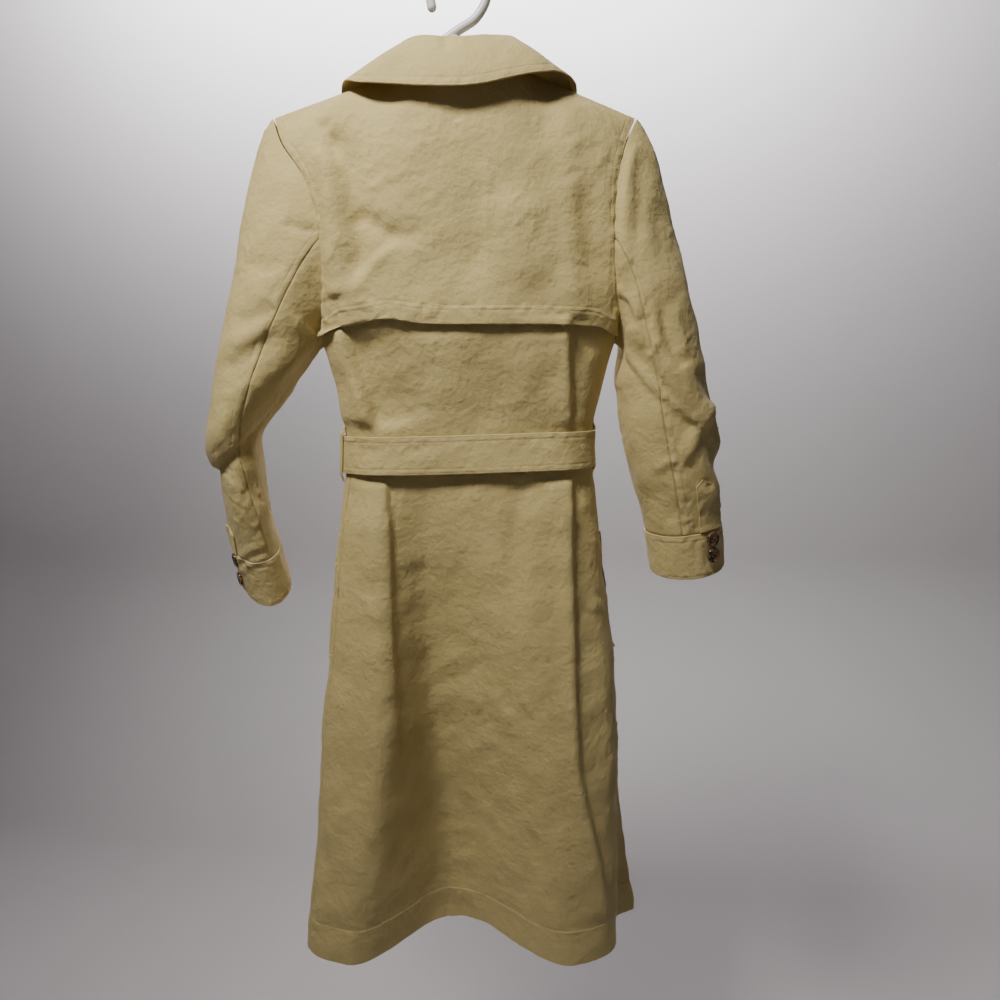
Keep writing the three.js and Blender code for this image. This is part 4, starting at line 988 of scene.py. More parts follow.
def grown(carrier, tree, sizes):
    """A plain mesh from what a node tree grows on an object."""
    modifier = carrier.modifiers.new("growth", "NODES")
    modifier.node_group = tree
    for item in tree.interface.items_tree:
        if item.item_type == "SOCKET" and item.in_out == "INPUT" and item.name in sizes:
            modifier[item.identifier] = sizes[item.name]
    depsgraph = bpy.context.evaluated_depsgraph_get()
    mesh = bpy.data.meshes.new_from_object(carrier.evaluated_get(depsgraph), depsgraph=depsgraph)
    carrier.modifiers.clear()
    carrier.data = mesh
    return carrier


def add_node(tree, kind, inputs=(), **settings):
    """A node with its settings, and each input, by name or place, linked or given its value."""
    made = tree.nodes.new(kind)
    for name, value in settings.items():
        setattr(made, name, value)
    for name, value in dict(inputs).items():
        if isinstance(value, bpy.types.NodeSocket):
            tree.links.new(value, made.inputs[name])
        else:
            made.inputs[name].default_value = value
    return made


def new_tree(name, sizes):
    """Node tree with a mesh going in and out, and named inputs for sizes and a material."""
    tree = bpy.data.node_groups.new(name, "GeometryNodeTree")
    tree.interface.new_socket("Geometry", in_out="INPUT", socket_type="NodeSocketGeometry")
    for size in sizes:
        tree.interface.new_socket(size, in_out="INPUT", socket_type="NodeSocketFloat")
    tree.interface.new_socket("Thread", in_out="INPUT", socket_type="NodeSocketMaterial")
    tree.interface.new_socket("Geometry", in_out="OUTPUT", socket_type="NodeSocketGeometry")
    return tree, add_node(tree, "NodeGroupInput")


def end_tree(tree, start, geometry):
    smooth_faces = add_node(tree, "GeometryNodeSetShadeSmooth", {"Geometry": geometry})
    real = add_node(tree, "GeometryNodeRealizeInstances", {"Geometry": smooth_faces.outputs[0]})
    coloured = add_node(tree, "GeometryNodeSetMaterial", {
        "Geometry": real.outputs[0], "Material": start.outputs["Thread"]})
    add_node(tree, "NodeGroupOutput", {"Geometry": coloured.outputs[0]})


STITCH_SEED = 12
STITCH_WANDER = 0.09


def stitch_tree():
    """Nodes that lay stitches end to end along rows, each turned a little by chance."""
    if "Stitches" in bpy.data.node_groups:
        return bpy.data.node_groups["Stitches"]
    tree, start = new_tree("Stitches", ("Pitch", "Length", "Thickness"))
    size = start.outputs
    curve = add_node(tree, "GeometryNodeMeshToCurve", {"Mesh": size["Geometry"]})
    even = add_node(tree, "GeometryNodeResampleCurve",
                    {"Curve": curve.outputs[0], "Length": size["Pitch"]},
                    mode="LENGTH")
    out = add_node(tree, "GeometryNodeInputNamedAttribute", {"Name": "out"}, data_type="FLOAT_VECTOR")
    tangent = add_node(tree, "GeometryNodeInputTangent")
    turned = add_node(tree, "FunctionNodeAlignRotationToVector", {"Vector": tangent.outputs[0]}, axis="X")
    upright = add_node(tree, "FunctionNodeAlignRotationToVector", {
        "Rotation": turned.outputs[0], "Vector": out.outputs[0]}, axis="Z", pivot_axis="X")
    wander = add_node(tree, "FunctionNodeRandomValue", {
        0: (0, 0, -STITCH_WANDER), 1: (0, 0, STITCH_WANDER), "Seed": STITCH_SEED},
        data_type="FLOAT_VECTOR")
    spin = add_node(tree, "FunctionNodeRotateRotation", {
        "Rotation": upright.outputs[0], "Rotate By": wander.outputs[0]}, rotation_space="LOCAL")
    size_of = add_node(tree, "ShaderNodeCombineXYZ", {
        "X": size["Length"], "Y": size["Thickness"], "Z": size["Thickness"]})
    bead = add_node(tree, "GeometryNodeMeshUVSphere", {"Segments": 5, "Rings": 4, "Radius": 0.5})
    laid = add_node(tree, "GeometryNodeTransform", {
        "Geometry": bead.outputs[0], "Rotation": (0, math.pi / 2, 0)})
    placed = add_node(tree, "GeometryNodeInstanceOnPoints", {
        "Points": even.outputs[0], "Instance": laid.outputs[0], "Rotation": spin.outputs[0],
        "Scale": size_of.outputs[0]})
    end_tree(tree, start, placed.outputs[0])
    return tree


def tube_tree():
    """Nodes that draw a round tube along a path."""
    tree, start = new_tree("Tube", ("Radius", "Sides"))
    size = start.outputs
    curve = add_node(tree, "GeometryNodeMeshToCurve", {"Mesh": size["Geometry"]})
    ring = add_node(tree, "GeometryNodeCurvePrimitiveCircle", {
        "Resolution": size["Sides"], "Radius": size["Radius"]})
    tube = add_node(tree, "GeometryNodeCurveToMesh", {
        "Curve": curve.outputs[0], "Profile Curve": ring.outputs[0], "Fill Caps": True})
    end_tree(tree, start, tube.outputs[0])
    return tree


# Finishes
def new_material(name):
    made = bpy.data.materials.new(name)
    made.use_nodes = True
    return made, made.node_tree, made.node_tree.nodes["Principled BSDF"]


def shared(name, build):
    return bpy.data.materials.get(name) or build(name)


def maths(tree, operation, *values):
    return add_node(tree, "ShaderNodeMath", dict(enumerate(values)), operation=operation).outputs[0]


def mark(tree, name):
    """Value that a piece's mesh carries under a name."""
    return add_node(tree, "ShaderNodeAttribute", attribute_name=name).outputs["Fac"]


def noise(tree, place, size, detail=2.0):
    inputs = {"Vector": place, "Scale": 1 / size, "Detail": detail}
    return add_node(tree, "ShaderNodeTexNoise", inputs).outputs["Fac"]


def mixed(tree, share, first, second, blend="MIX"):
    """Two colours mixed by a share."""
    inputs = {0: share, 6: first, 7: second}
    made = add_node(tree, "ShaderNodeMix", inputs, data_type="RGBA", blend_type=blend)
    return made.outputs[2]


def spread_of(tree, value, start, end, low=0.0, high=1.0):
    """A value taken from one range to another."""
    inputs = {"Value": value, "From Min": start, "From Max": end, "To Min": low, "To Max": high}
    return add_node(tree, "ShaderNodeMapRange", inputs).outputs[0]


TWILL_PITCH = 0.00062
TWILL_ANGLE = math.radians(63)
YARN_SIZE = 0.0014
MOTTLE_SIZE = 0.055


def cotton_gabardine():
    return shared("cotton gabardine", build_gabardine)


def build_gabardine(name):
    """Close twill cotton: steep fine ribs, uneven yarns, soft mottling, paler worn edges, painted light on
    raised folds and painted shade in seam grooves.
    """
    looks = bpy.context.scene.coat_looks
    made, tree, shader = new_material(name)
    cloth = add_node(tree, "ShaderNodeUVMap", uv_map="UVMap").outputs[0]
    place = add_node(tree, "ShaderNodeTexCoord").outputs["Object"]
    axes = add_node(tree, "ShaderNodeSeparateXYZ", {0: cloth}).outputs
    slant = maths(tree, "ADD", maths(tree, "MULTIPLY", axes[0], math.cos(TWILL_ANGLE)),
                  maths(tree, "MULTIPLY", axes[1], math.sin(TWILL_ANGLE)))
    ribs = maths(tree, "SINE", maths(tree, "MULTIPLY", slant, 2 * math.pi / TWILL_PITCH))
    yarn, mottle = noise(tree, cloth, YARN_SIZE, 3.0), noise(tree, place, MOTTLE_SIZE, 4.0)
    patches, crinkle = noise(tree, place, 0.011, 3.0), noise(tree, place, 0.0045, 4.0)
    pale = [c * 1.07 for c in looks.cloth_colour]
    deep = [c * shade for c, shade in zip(looks.cloth_colour, (0.91, 0.90, 0.87))]
    grain = [c * shade for c, shade in zip(looks.cloth_colour, (0.66, 0.64, 0.58))]
    colour = mixed(tree, spread_of(tree, mottle, 0.3, 0.7), (*deep, 1), (*pale, 1))
    colour = mixed(tree, spread_of(tree, yarn, 0.38, 0.68, 0.0, 0.34), colour, (*grain, 1))
    colour = mixed(tree, spread_of(tree, patches, 0.35, 0.7, 0.0, 0.25), colour, (*pale, 1))
    # Painted light: the cloth is paler where it rises in a fold or crease, on top of its paler worn edges
    painted_fold_light = spread_of(tree, mark(tree, "fold"), -1.0, 1.0, -0.16, 0.16)
    wear_and_fold_light = maths(tree, "ADD", maths(tree, "MULTIPLY", mark(tree, "wear"), 0.24), painted_fold_light)
    colour = mixed(tree, maths(tree, "MAXIMUM", wear_and_fold_light, 0.0), colour, (*pale, 1))
    # Painted shade: seams and rows of stitches darkened towards a deep shade of the cloth
    painted_groove_shade = maths(tree, "MULTIPLY", mark(tree, "groove"), looks.groove_shade)
    shade = [c * 0.42 for c in looks.cloth_colour]
    tree.links.new(mixed(tree, painted_groove_shade, colour, (*shade, 1)), shader.inputs["Base Color"])
    tree.links.new(spread_of(tree, yarn, 0.3, 0.7, 0.72, 0.88), shader.inputs["Roughness"])
    shader.inputs["Specular IOR Level"].default_value = 0.32
    shader.inputs["Sheen Weight"].default_value = looks.sheen
    shader.inputs["Sheen Roughness"].default_value = 0.45
    weave = add_node(tree, "ShaderNodeBump", {
        "Height": ribs, "Strength": 0.25, "Distance": 0.00006})
    lumps = add_node(tree, "ShaderNodeBump", {
        "Height": yarn, "Strength": 0.5, "Distance": 0.00035, "Normal": weave.outputs[0]})
    soft = add_node(tree, "ShaderNodeBump", {
        "Height": patches, "Strength": 0.8, "Distance": 0.0022, "Normal": lumps.outputs[0]})
    crisp = add_node(tree, "ShaderNodeBump", {
        "Height": crinkle, "Strength": 0.6, "Distance": 0.0010, "Normal": soft.outputs[0]})
    tree.links.new(crisp.outputs[0], shader.inputs["Normal"])
    return made


def sewing_thread():
    return shared("sewing thread", build_thread)


def build_thread(name):
    """Twisted cotton thread, a shade paler than the cloth."""
    made, tree, shader = new_material(name)
    place = add_node(tree, "ShaderNodeTexCoord").outputs["Object"]
    colour = bpy.context.scene.coat_looks.thread_colour
    twist = noise(tree, place, 0.0009, 1.0)
    pale = mixed(tree, spread_of(tree, twist, 0.3, 0.7), (*[c * 0.8 for c in colour], 1), (*colour, 1))
    tree.links.new(pale, shader.inputs["Base Color"])
    shader.inputs["Roughness"].default_value = 0.6
    shader.inputs["Sheen Weight"].default_value = 0.2
    bump = add_node(tree, "ShaderNodeBump", {"Height": twist, "Strength": 0.4, "Distance": 0.0001})
    tree.links.new(bump.outputs[0], shader.inputs["Normal"])
    return made


def shell_plastic():
    return shared("shell plastic", build_shell)


def build_shell(name):
    """Polished plastic with streaks of brown, amber and horn."""
    looks = bpy.context.scene.coat_looks
    made, tree, shader = new_material(name)
    place = add_node(tree, "ShaderNodeTexCoord").outputs["Object"]
    bent = add_node(tree, "ShaderNodeTexNoise", {"Vector": place, "Scale": 90, "Detail": 2.0})
    pushed = add_node(tree, "ShaderNodeVectorMath", {0: bent.outputs["Color"], 1: (0.012, 0.012, 0.012)},
                      operation="MULTIPLY_ADD")
    tree.links.new(place, pushed.inputs[2])
    streaks = noise(tree, pushed.outputs[0], 0.006, 3.0)
    clouds = noise(tree, pushed.outputs[0], 0.0035, 2.0)
    dark = mixed(tree, spread_of(tree, streaks, 0.44, 0.56),
                 (*looks.shell_dark, 1), (*looks.shell_amber, 1))
    colour = mixed(tree, spread_of(tree, clouds, 0.56, 0.66), dark, (*looks.shell_pale, 1))
    tree.links.new(colour, shader.inputs["Base Color"])
    shader.inputs["Roughness"].default_value = 0.22
    shader.inputs["Coat Weight"].default_value = 0.6
    shader.inputs["Coat Roughness"].default_value = 0.08
    bump = add_node(tree, "ShaderNodeBump", {
        "Height": noise(tree, place, 0.0008), "Strength": 0.15, "Distance": 0.00005})
    tree.links.new(bump.outputs[0], shader.inputs["Normal"])
    return made


def hanger_plastic():
    return shared("hanger plastic", build_hanger_plastic)


def build_hanger_plastic(name):
    """Smooth white plastic with faint flow marks and scuffs."""
    made, tree, shader = new_material(name)
    place = add_node(tree, "ShaderNodeTexCoord").outputs["Object"]
    colour = bpy.context.scene.coat_looks.hanger_colour
    flow, scuffs = noise(tree, place, 0.03), noise(tree, place, 0.0012, 5.0)
    marked = mixed(tree, spread_of(tree, flow, 0.35, 0.7, 0.0, 0.5), (*colour, 1),
                   (*[c * 0.93 for c in colour], 1))
    tree.links.new(marked, shader.inputs["Base Color"])
    tree.links.new(spread_of(tree, scuffs, 0.4, 0.7, 0.26, 0.42), shader.inputs["Roughness"])
    shader.inputs["Subsurface Weight"].default_value = 0.08
    shader.inputs["Subsurface Radius"].default_value = (0.004, 0.004, 0.004)
    bump = add_node(tree, "ShaderNodeBump", {"Height": scuffs, "Strength": 0.1, "Distance": 0.00008})
    tree.links.new(bump.outputs[0], shader.inputs["Normal"])
    return made


def hole_shade(name):
    """Painted shade: a near-black sheet that stands in for the shade seen down a hole."""
    made, tree, shader = new_material(name)
    place = add_node(tree, "ShaderNodeTexCoord").outputs["Object"]
    deep = mixed(tree, noise(tree, place, 0.001), (0.012, 0.010, 0.006, 1), (0.03, 0.025, 0.016, 1))
    tree.links.new(deep, shader.inputs["Base Color"])
    shader.inputs["Roughness"].default_value = 0.9
    return made


def painted_wall(name):
    """Matt pale paint of the studio's floor and sweep."""
    looks = bpy.context.scene.coat_looks
    made, tree, shader = new_material(name)
    place = add_node(tree, "ShaderNodeTexCoord").outputs["Object"]
    paint = mixed(tree, noise(tree, place, 0.4), (*looks.studio_colour, 1),
                  (*[c * 0.96 for c in looks.studio_colour], 1))
    tree.links.new(paint, shader.inputs["Base Color"])
    shader.inputs["Roughness"].default_value = 0.85
    return made


# Pieces of cloth
ARMHOLE_ROWS = (2.0, 8.0)
HEM_DEPTH = 46
HEM_RISE = 0.5
FLAP_ROWS = (15, 19.5)
# The pocket's slit is the same seam, deeper by this many times
POCKET_SLIT = (1.29, 1.49)
SLIT_DEPTH = 4


def build_back():
    """Back in one piece, from the shoulders to the hem."""
    stitched = [(edge, row, 0.86, 1.0) for edge in ("left", "right") for row in ARMHOLE_ROWS]
    stitched.append(("bottom", HEM_DEPTH, -1, 1))
    sew_cloth(
        "back_body", back_point, (-1, 1), (0, 2), steps=(3.8, 4.8), stitched=stitched,
        hems=[("bottom", HEM_DEPTH, HEM_RISE)],
        joined=[(edge, 0, 2) for edge in ("left", "right")] + [("left", *POCKET_SLIT)] * SLIT_DEPTH,
        held=[("left", 16, 0, 1), ("right", 16, 0, 1), ("top", 12, -1, 1)],
    )


def flap_hem(s):
    """How far down the flap reaches: highest left of the middle and lowest at the armholes."""
    return 0.945 + 0.034 * smooth((np.abs(s) - 0.8) / 0.2) - 0.02 * bell(s + 0.52, 0.16)


def flap_reach(v):
    return 0.997 - 0.008 * smooth(v * 2) - 0.075 * smooth((v - 0.72) / 0.28)


def flap_point(s, row):
    return back_point(s * flap_reach(row), row * flap_hem(s))


def flap_stand(s, row):
    return WALL + 0.9 + 3 * smooth((row - 0.75) * 4)


def build_flap():
    """Loose storm flap over the upper back, with its double stitched hem."""
    stitched = [(edge, row, 0.02, 1.0) for edge in ("left", "right") for row in ARMHOLE_ROWS]
    stitched += [("bottom", row, -1, 1) for row in FLAP_ROWS]
    sew_cloth(
        "back_storm_flap", flap_point, (-1, 1), (0, 1), steps=(3.4, 3.2), lift=flap_stand,
        stitched=stitched,
        hems=[("bottom", FLAP_ROWS[1], HEM_RISE), ("left", 8, 0.35), ("right", 8, 0.35)],
        held=[("left", 16, 0, 0.95), ("right", 16, 0, 0.95), ("top", 12, -1, 1)],
    )


def build_front(side):
    """Front with its edge over or under the other's, and its button band."""
    name = "front_" + SIDES[side]
    sew_cloth(
        name, lambda s, v: front_point(side, s, v), (0, 1), (0, 2), steps=(6, 7), hand=side,
        lift=lambda s, v: 0 if side > 0 else -UNDER * smooth(s * 7),
        stitched=[("right", 2, 0, 2), ("right", 9, 0, 2), ("bottom", HEM_DEPTH, 0, 1),
                  ("left", ARMHOLE_ROWS[0], 0, 1), ("left", ARMHOLE_ROWS[1], 0, 1)],
        hems=[("bottom", HEM_DEPTH, HEM_RISE), ("right", 9, 0.3)],
        joined=[("left", 0, 2)], held=[("left", 16, 0, 1), ("top", 12, 0, 1)],
    )


HEAD_STAND = 2.4


def build_sleeve(side):
    """Sleeve in an upper and an under piece, the upper one double stitched at the back seam."""
    def surface(w, row):
        return sleeve_point(side, w, row)

    common = {"hand": -side, "creases": SLEEVE_CREASES[side], "held": [("top", 14, -9, 9)],
              "lift": lambda w, row: HEAD_STAND * (1 - smooth(row / 0.45))}
    seams = [("left", 0, 5), ("right", 0, 5), ("bottom", -9, 9)]
    sew_cloth(
        f"sleeve_{SIDES[side]}_upper", surface, (SEAM_INNER, SEAM_BACK + 1), (0, CUFF_START),
        steps=(3.3, 3.3), stitched=[("right", 2.2, 0, 5), ("right", 9, 0, 5)],
        hems=[("right", 9, 0.3)], joined=seams, **common,
    )
    sew_cloth(
        f"sleeve_{SIDES[side]}_under", surface, (SEAM_BACK, SEAM_INNER), (0, CUFF_START),
        steps=(3.3, 3.3), joined=seams, **common,
    )


def build_cuff(side):
    """Cuff sewn on with two rows of stitches at its top and one along its lower edge."""
    sew_cloth(
        "cuff_" + SIDES[side], lambda w, row: sleeve_point(side, w, row), (0, 1), (CUFF_START, CUFF_END),
        steps=(2.6, 2.6), hand=-side, lift=CUFF_THICK / 2, thick=CUFF_THICK, loop=True,
        creases=SLEEVE_CREASES[side], looseness=0.8,
        stitched=[("top", 2, 0, 1), ("top", 7.5, 0, 1), ("bottom", 3, 0, 1)],
    )


STRAPS = {
    1: {"w": 0.168, "half": 0.052, "from": 2.75, "to": 4.97},
    -1: {"w": 0.035, "half": 0.05, "from": 3.5, "to": 4.97},
}


def build_strap(side):
    """Placket strap over the slit above a cuff, round at its top."""
    strap = STRAPS[side]

    def surface(s, row):
        width = mix(0.45, 1, smooth((row - strap["from"]) / 0.35))
        return sleeve_point(side, strap["w"] + s * strap["half"] * width, row)

    edges = ("top", "left", "right")
    sew_cloth(
        "sleeve_strap_" + SIDES[side], surface, (-1, 1), (strap["from"], strap["to"]),
        steps=(2, 2.4), hand=-side, lift=WALL + 1.1, creases=SLEEVE_CREASES[side],
        stitched=[(edge, 2.2, -1 if edge == "top" else 0, 9) for edge in edges],
        hems=[(edge, 2.2, 0.25) for edge in edges], rests_on=("sleeve_" + SIDES[side] + "_upper",),
    )


BELT_LIFT = 1.9 + BELT_THICK
BELT_END_LIFT = BELT_LIFT + BELT_THICK + 0.5
BELT_TILT = 3.3
BELT_ROWS = (1.8, 6.8)
BELT_FLARE = 5


def belt_edge(z, turn):
    return z + BELT_TILT * np.sin(2 * np.pi * turn)


def belt_point(turn, share):
    return body(turn, belt_edge(mix(BELT_TOP - 2, BELT_BOTTOM + 2, share), turn))


def belt_stand(turn, share):
    """The belt stands off more towards its lower edge, between its loops."""
    return BELT_LIFT + BELT_FLARE * share * smooth((0.21 - np.abs(turn)) / 0.07)


def build_belt():
    """Belt round the waist and its own end lying over it in front."""
    rows = [(edge, row, -1, 1) for edge in ("top", "bottom") for row in BELT_ROWS]
    common = {"steps": (2.8, 2.4), "thick": BELT_THICK, "creases": BELT_CREASES, "looseness": 0.45}
    sew_cloth("belt", belt_point, (-0.47, 0.47), (0, 1), lift=belt_stand, stitched=rows,
              rests_on=("back_body",), **common)
    ends = [(edge, BELT_ROWS[0], 0, 1) for edge in ("left", "right")]
    sew_cloth("belt_end", belt_point, (0.49, 0.69), (0, 1), lift=BELT_END_LIFT, stitched=rows + ends,
              rests_on=("belt",), **common)


LOOPS = {"belt_loop_left": -0.232, "belt_loop_right": 0.268}
LOOP_WIDTH = 11
KEEPER = {"at": 0.58, "wide": 14}
WAIST_GIRTH = 620
LOOP_ROWS = named(["row", "z", "lift"], [
    [0, BELT_TOP + 9, 2.1],
    [1, BELT_TOP + 4, 3.8],
    [2, BELT_TOP, BELT_LIFT + 2.1],
    [3, BELT_BOTTOM, BELT_LIFT + 2.1],
    [4, BELT_BOTTOM - 4, 3.8],
    [5, BELT_BOTTOM - 9, 2.1],
])


def build_loops():
    """Loops that hold the belt at the side seams, and the keeper of its end."""
    small = {"steps": (2, 2.4), "creases": BELT_CREASES, "looseness": 0.1, "rests_on": ("belt",)}
    stitched = [(edge, 2, 0, 5) for edge in ("left", "right")]
    for name, middle in LOOPS.items():
        half = LOOP_WIDTH / 2 / WAIST_GIRTH

        def surface(turn, row, middle=middle):
            return body(turn, belt_edge(np.interp(row, LOOP_ROWS["row"], LOOP_ROWS["z"]), middle))

        sew_cloth(name, surface, (middle - half, middle + half), (0, 5), stitched=stitched,
                  lift=lambda turn, row: table_value(LOOP_ROWS, "row", "lift", row), **small)
    half = KEEPER["wide"] / 2 / WAIST_GIRTH

    def keeper(turn, share):
        return body(turn, belt_edge(mix(BELT_TOP - 1, BELT_BOTTOM + 1, share), turn))

    sew_cloth("belt_keeper", keeper, (KEEPER["at"] - half, KEEPER["at"] + half), (0, 1),
              lift=BELT_END_LIFT + 2.1, stitched=stitched, **small)


COLLAR_ROLL = 2.3
COLLAR_ROLL_END = math.radians(150)
COLLAR_ROWS = (2, 9)


def leaf_point(q, b):
    """Collar leaf, from the roll over its fold line (b below 0) to its outer edge (b 1)."""
    fold, edge = collar_line("fold", q), collar_line("edge", q)
    plain = mix(fold, edge, np.maximum(b, 0)[..., None])
    step = 0.01
    along = collar_line("fold", np.clip(q + step, -1, 1)) - collar_line("fold", np.clip(q - step, -1, 1))
    up = unit(fold - edge)
    out = unit(np.cross(-up, along))
    turn = (np.minimum(b, 0) / ROLL_FROM * COLLAR_ROLL_END)[..., None]
    return plain + COLLAR_ROLL * (out * (np.cos(turn) - 1) + up * np.sin(turn))


ROLL_FROM = -0.16


def leaf_lift(q, b):
    return mix(5, 1, np.clip(q * q * 4, 0, 1)) * np.sin(np.pi * np.clip(b, 0, 1))


def stand_point(q, b):
    """Collar stand, from just under the fold line down to the neck seam."""
    top, seam = collar_line("fold", q), back_top_edge(q / 0.5 * NECK_AT)
    top[..., 2] -= 3
    seam[..., 2] += 0.5
    return mix(top, seam, b[..., None])


def build_collar():
    """Collar of a stand and a leaf that rolls over it, with two rows of stitches round the leaf."""
    edges = ("bottom", "left", "right")
    stitched = [(edge, row, -1 if edge == "bottom" else 0.02, 1) for edge in edges for row in COLLAR_ROWS]
    sew_cloth(
        "collar_leaf", leaf_point, (-1, 1), (ROLL_FROM, 1), steps=(3.2, 2.6), lift=leaf_lift,
        creases=COLLAR_CREASES, looseness=0.5, stitched=stitched,
        hems=[("bottom", 2, 0.3)], lying="folded",
    )
    sew_cloth("collar_stand", stand_point, (-0.5, 0.5), (0, 1), steps=(4, 3), looseness=0.1,
              creases=COLLAR_CREASES)


def build_lapel(side):
    """Lapel turned back over its front."""
    under = 0 if side > 0 else UNDER
    end = 0.97 if side > 0 else 0.45
    sew_cloth(
        "lapel_" + SIDES[side], lambda b, a: lapel_point(side, a, b), (0, 1), (0.1, end), steps=(4, 4),
        hand=-side, lift=lambda b, a: WALL + 0.5 + 1.5 * b - under,
        stitched=[("right", 2, 0.1, 1), ("right", 8, 0.1, 1), ("top", 2, 0, 1)], lying="folded",
    )


WELT = {"top": -604, "bottom": -752, "near": 0.006, "far": 0.03}
WELT_STAND = {1: 0.7, -1: -0.9}


def build_welt(side):
    """Welt of the pocket in a side seam."""
    seam = float(seam_turn(side, WELT["top"]))
    turns = sorted((seam + side * WELT["near"], seam + side * WELT["far"]))
    sew_cloth(
        "pocket_welt_" + SIDES[side], lambda turn, z: body(turn, z), turns, (WELT["top"], WELT["bottom"]),
        steps=(2.4, 3), lift=WALL + WELT_STAND[side],
        stitched=[(edge, 1.8, -1e4, 1e4) for edge in ("left", "right", "top", "bottom")],
        rests_on=("front_" + SIDES[side],),
    )


# Hard pieces
def swept(path, ways, wide, thick, closed, sides=10, square=3.0):
    """Bar of rounded section along a path: points and faces. Ways are the directions of its thickness."""
    path, ways = np.asarray(path, float), np.asarray(ways, float)
    if closed:
        along = unit(np.roll(path, -1, 0) - np.roll(path, 1, 0))
    else:
        along = unit(np.gradient(path, axis=0))
    across = np.cross(ways, along)
    angle = np.arange(sides) / sides * 2 * np.pi + np.pi / sides
    c, s = np.cos(angle), np.sin(angle)
    power = 2 / square
    section = np.stack([np.sign(c) * np.abs(c) ** power, np.sign(s) * np.abs(s) ** power], -1)
    section = section * [wide / 2, thick / 2]
    rings = path[:, None] + across[:, None] * section[:, :1] + ways[:, None] * section[:, 1:]
    count = len(path)
    faces = []
    for k in range(count if closed else count - 1):
        for m in range(sides):
            a, b = k * sides + m, k * sides + (m + 1) % sides
            c, d = (k + 1) % count * sides + (m + 1) % sides, (k + 1) % count * sides + m
            faces.append((a, b, c, d))
    points = rings.reshape(-1, 3)
    if not closed:
        ends = np.array([path[0] - along[0] * thick * 0.25, path[-1] + along[-1] * thick * 0.25])
        first, last = len(points), (count - 1) * sides
        points = np.vstack([points, ends])
        faces += [(first, (m + 1) % sides, m) for m in range(sides)]
        faces += [(first + 1, last + m, last + (m + 1) % sides) for m in range(sides)]
    return points, faces


def joined_mesh(name, parts):
    """One mesh from several sets of points and faces, its faces turned outwards."""
    mesh = bpy.data.meshes.new(name)
    points, faces, start = [], [], 0
    for part_points, part_faces in parts:
        points.append(part_points)
        faces += [tuple(start + k for k in face) for face in part_faces]
        start += len(part_points)
    mesh.from_pydata((np.vstack(points) * MM).tolist(), [], faces)
    work = bmesh.new()
    work.from_mesh(mesh)
    bmesh.ops.recalc_face_normals(work, faces=work.faces)
    work.to_mesh(mesh)
    work.free()
    mesh.polygons.foreach_set("use_smooth", np.ones(len(mesh.polygons), bool))
    return mesh


def lathe(profile, sides):
    """Points and faces of a closed turned solid, from pairs of radius and height at its axis."""
    angle = np.arange(sides) / sides * 2 * np.pi
    middle = profile[1:-1]
    rings = [np.stack([r * np.cos(angle), r * np.sin(angle), np.full(sides, h)], -1) for r, h in middle]
    points = np.vstack([*rings, [[0, 0, profile[0][1]]], [[0, 0, profile[-1][1]]]])
    faces = []
    for k in range(len(middle) - 1):
        for m in range(sides):
            n = (m + 1) % sides
            faces.append((k * sides + m, k * sides + n, (k + 1) * sides + n, (k + 1) * sides + m))
    first, last, top = len(rings) * sides, len(rings) * sides + 1, (len(middle) - 1) * sides
    faces += [(first, (m + 1) % sides, m) for m in range(sides)]
    faces += [(last, top + m, top + (m + 1) % sides) for m in range(sides)]
    return points, faces


def turned_to(points, way, seat):
    """Points drawn about the z axis, turned so that it runs along a way, and moved to a seat."""
    turn = Vector((0, 0, 1)).rotation_difference(Vector(way)).to_matrix()
    return np.asarray(points) @ np.array(turn).T + seat


BUTTON_THICK = 3.4
HOLE_PLACE = 0.19
HOLE_RADIUS = 0.85
HOLE_SIDES = 12


def button_blank(radius):
    """Button with a raised round rim, a shallow dish and four holes, drawn about the z axis."""
    profile = [
        (0, 0), (radius * 0.8, 0), (radius * 0.95, 0.35), (radius, 1.1), (radius, 2.1),
        (radius * 0.965, 2.9), (radius * 0.9, 3.3), (radius * 0.82, BUTTON_THICK), (radius * 0.74, 3.2),
        (radius * 0.66, 2.7), (radius * 0.55, 2.25), (radius * 0.3, 2.05), (0, 2.0),
    ]
    blank = linked("blank", joined_mesh("blank", [lathe(profile, 48)]))
    offset = radius * HOLE_PLACE
    pins = []
    for x in (-offset, offset):
        for y in (-offset, offset):
            points, faces = lathe([(0, -1), (HOLE_RADIUS, -1), (HOLE_RADIUS, 5), (0, 5)], HOLE_SIDES)
            pins.append((points + [x, y, 0], faces))
    drill = linked("drill", joined_mesh("drill", pins))
    cut = blank.modifiers.new("holes", "BOOLEAN")
    cut.operation = "DIFFERENCE"
    cut.object = drill
    depsgraph = bpy.context.evaluated_depsgraph_get()
    mesh = bpy.data.meshes.new_from_object(blank.evaluated_get(depsgraph), depsgraph=depsgraph)
    points = np.array([tuple(v.co) for v in mesh.vertices]) / MM
    faces = [tuple(face.vertices) for face in mesh.polygons]
    for made in (blank, drill):
        bpy.data.objects.remove(made)
    return points, faces


def button_threads(radius):
    """Two bridges of thread across the holes, and the shank below."""
    offset = radius * HOLE_PLACE
    parts = []
    for y in (-offset, offset):
        for shift in (-0.3, 0.3):
            angle = np.linspace(0, np.pi, 9)
            rise = 1.2 + 1.3 * np.sin(angle)
            path = np.stack([-offset * np.cos(angle), np.full(9, y + shift), rise], -1)
            ways = np.cross(np.gradient(path, axis=0), [0, 1, 0])
            parts.append(swept(path, ways, 0.5, 0.5, False, 6, 2.0))
    return parts


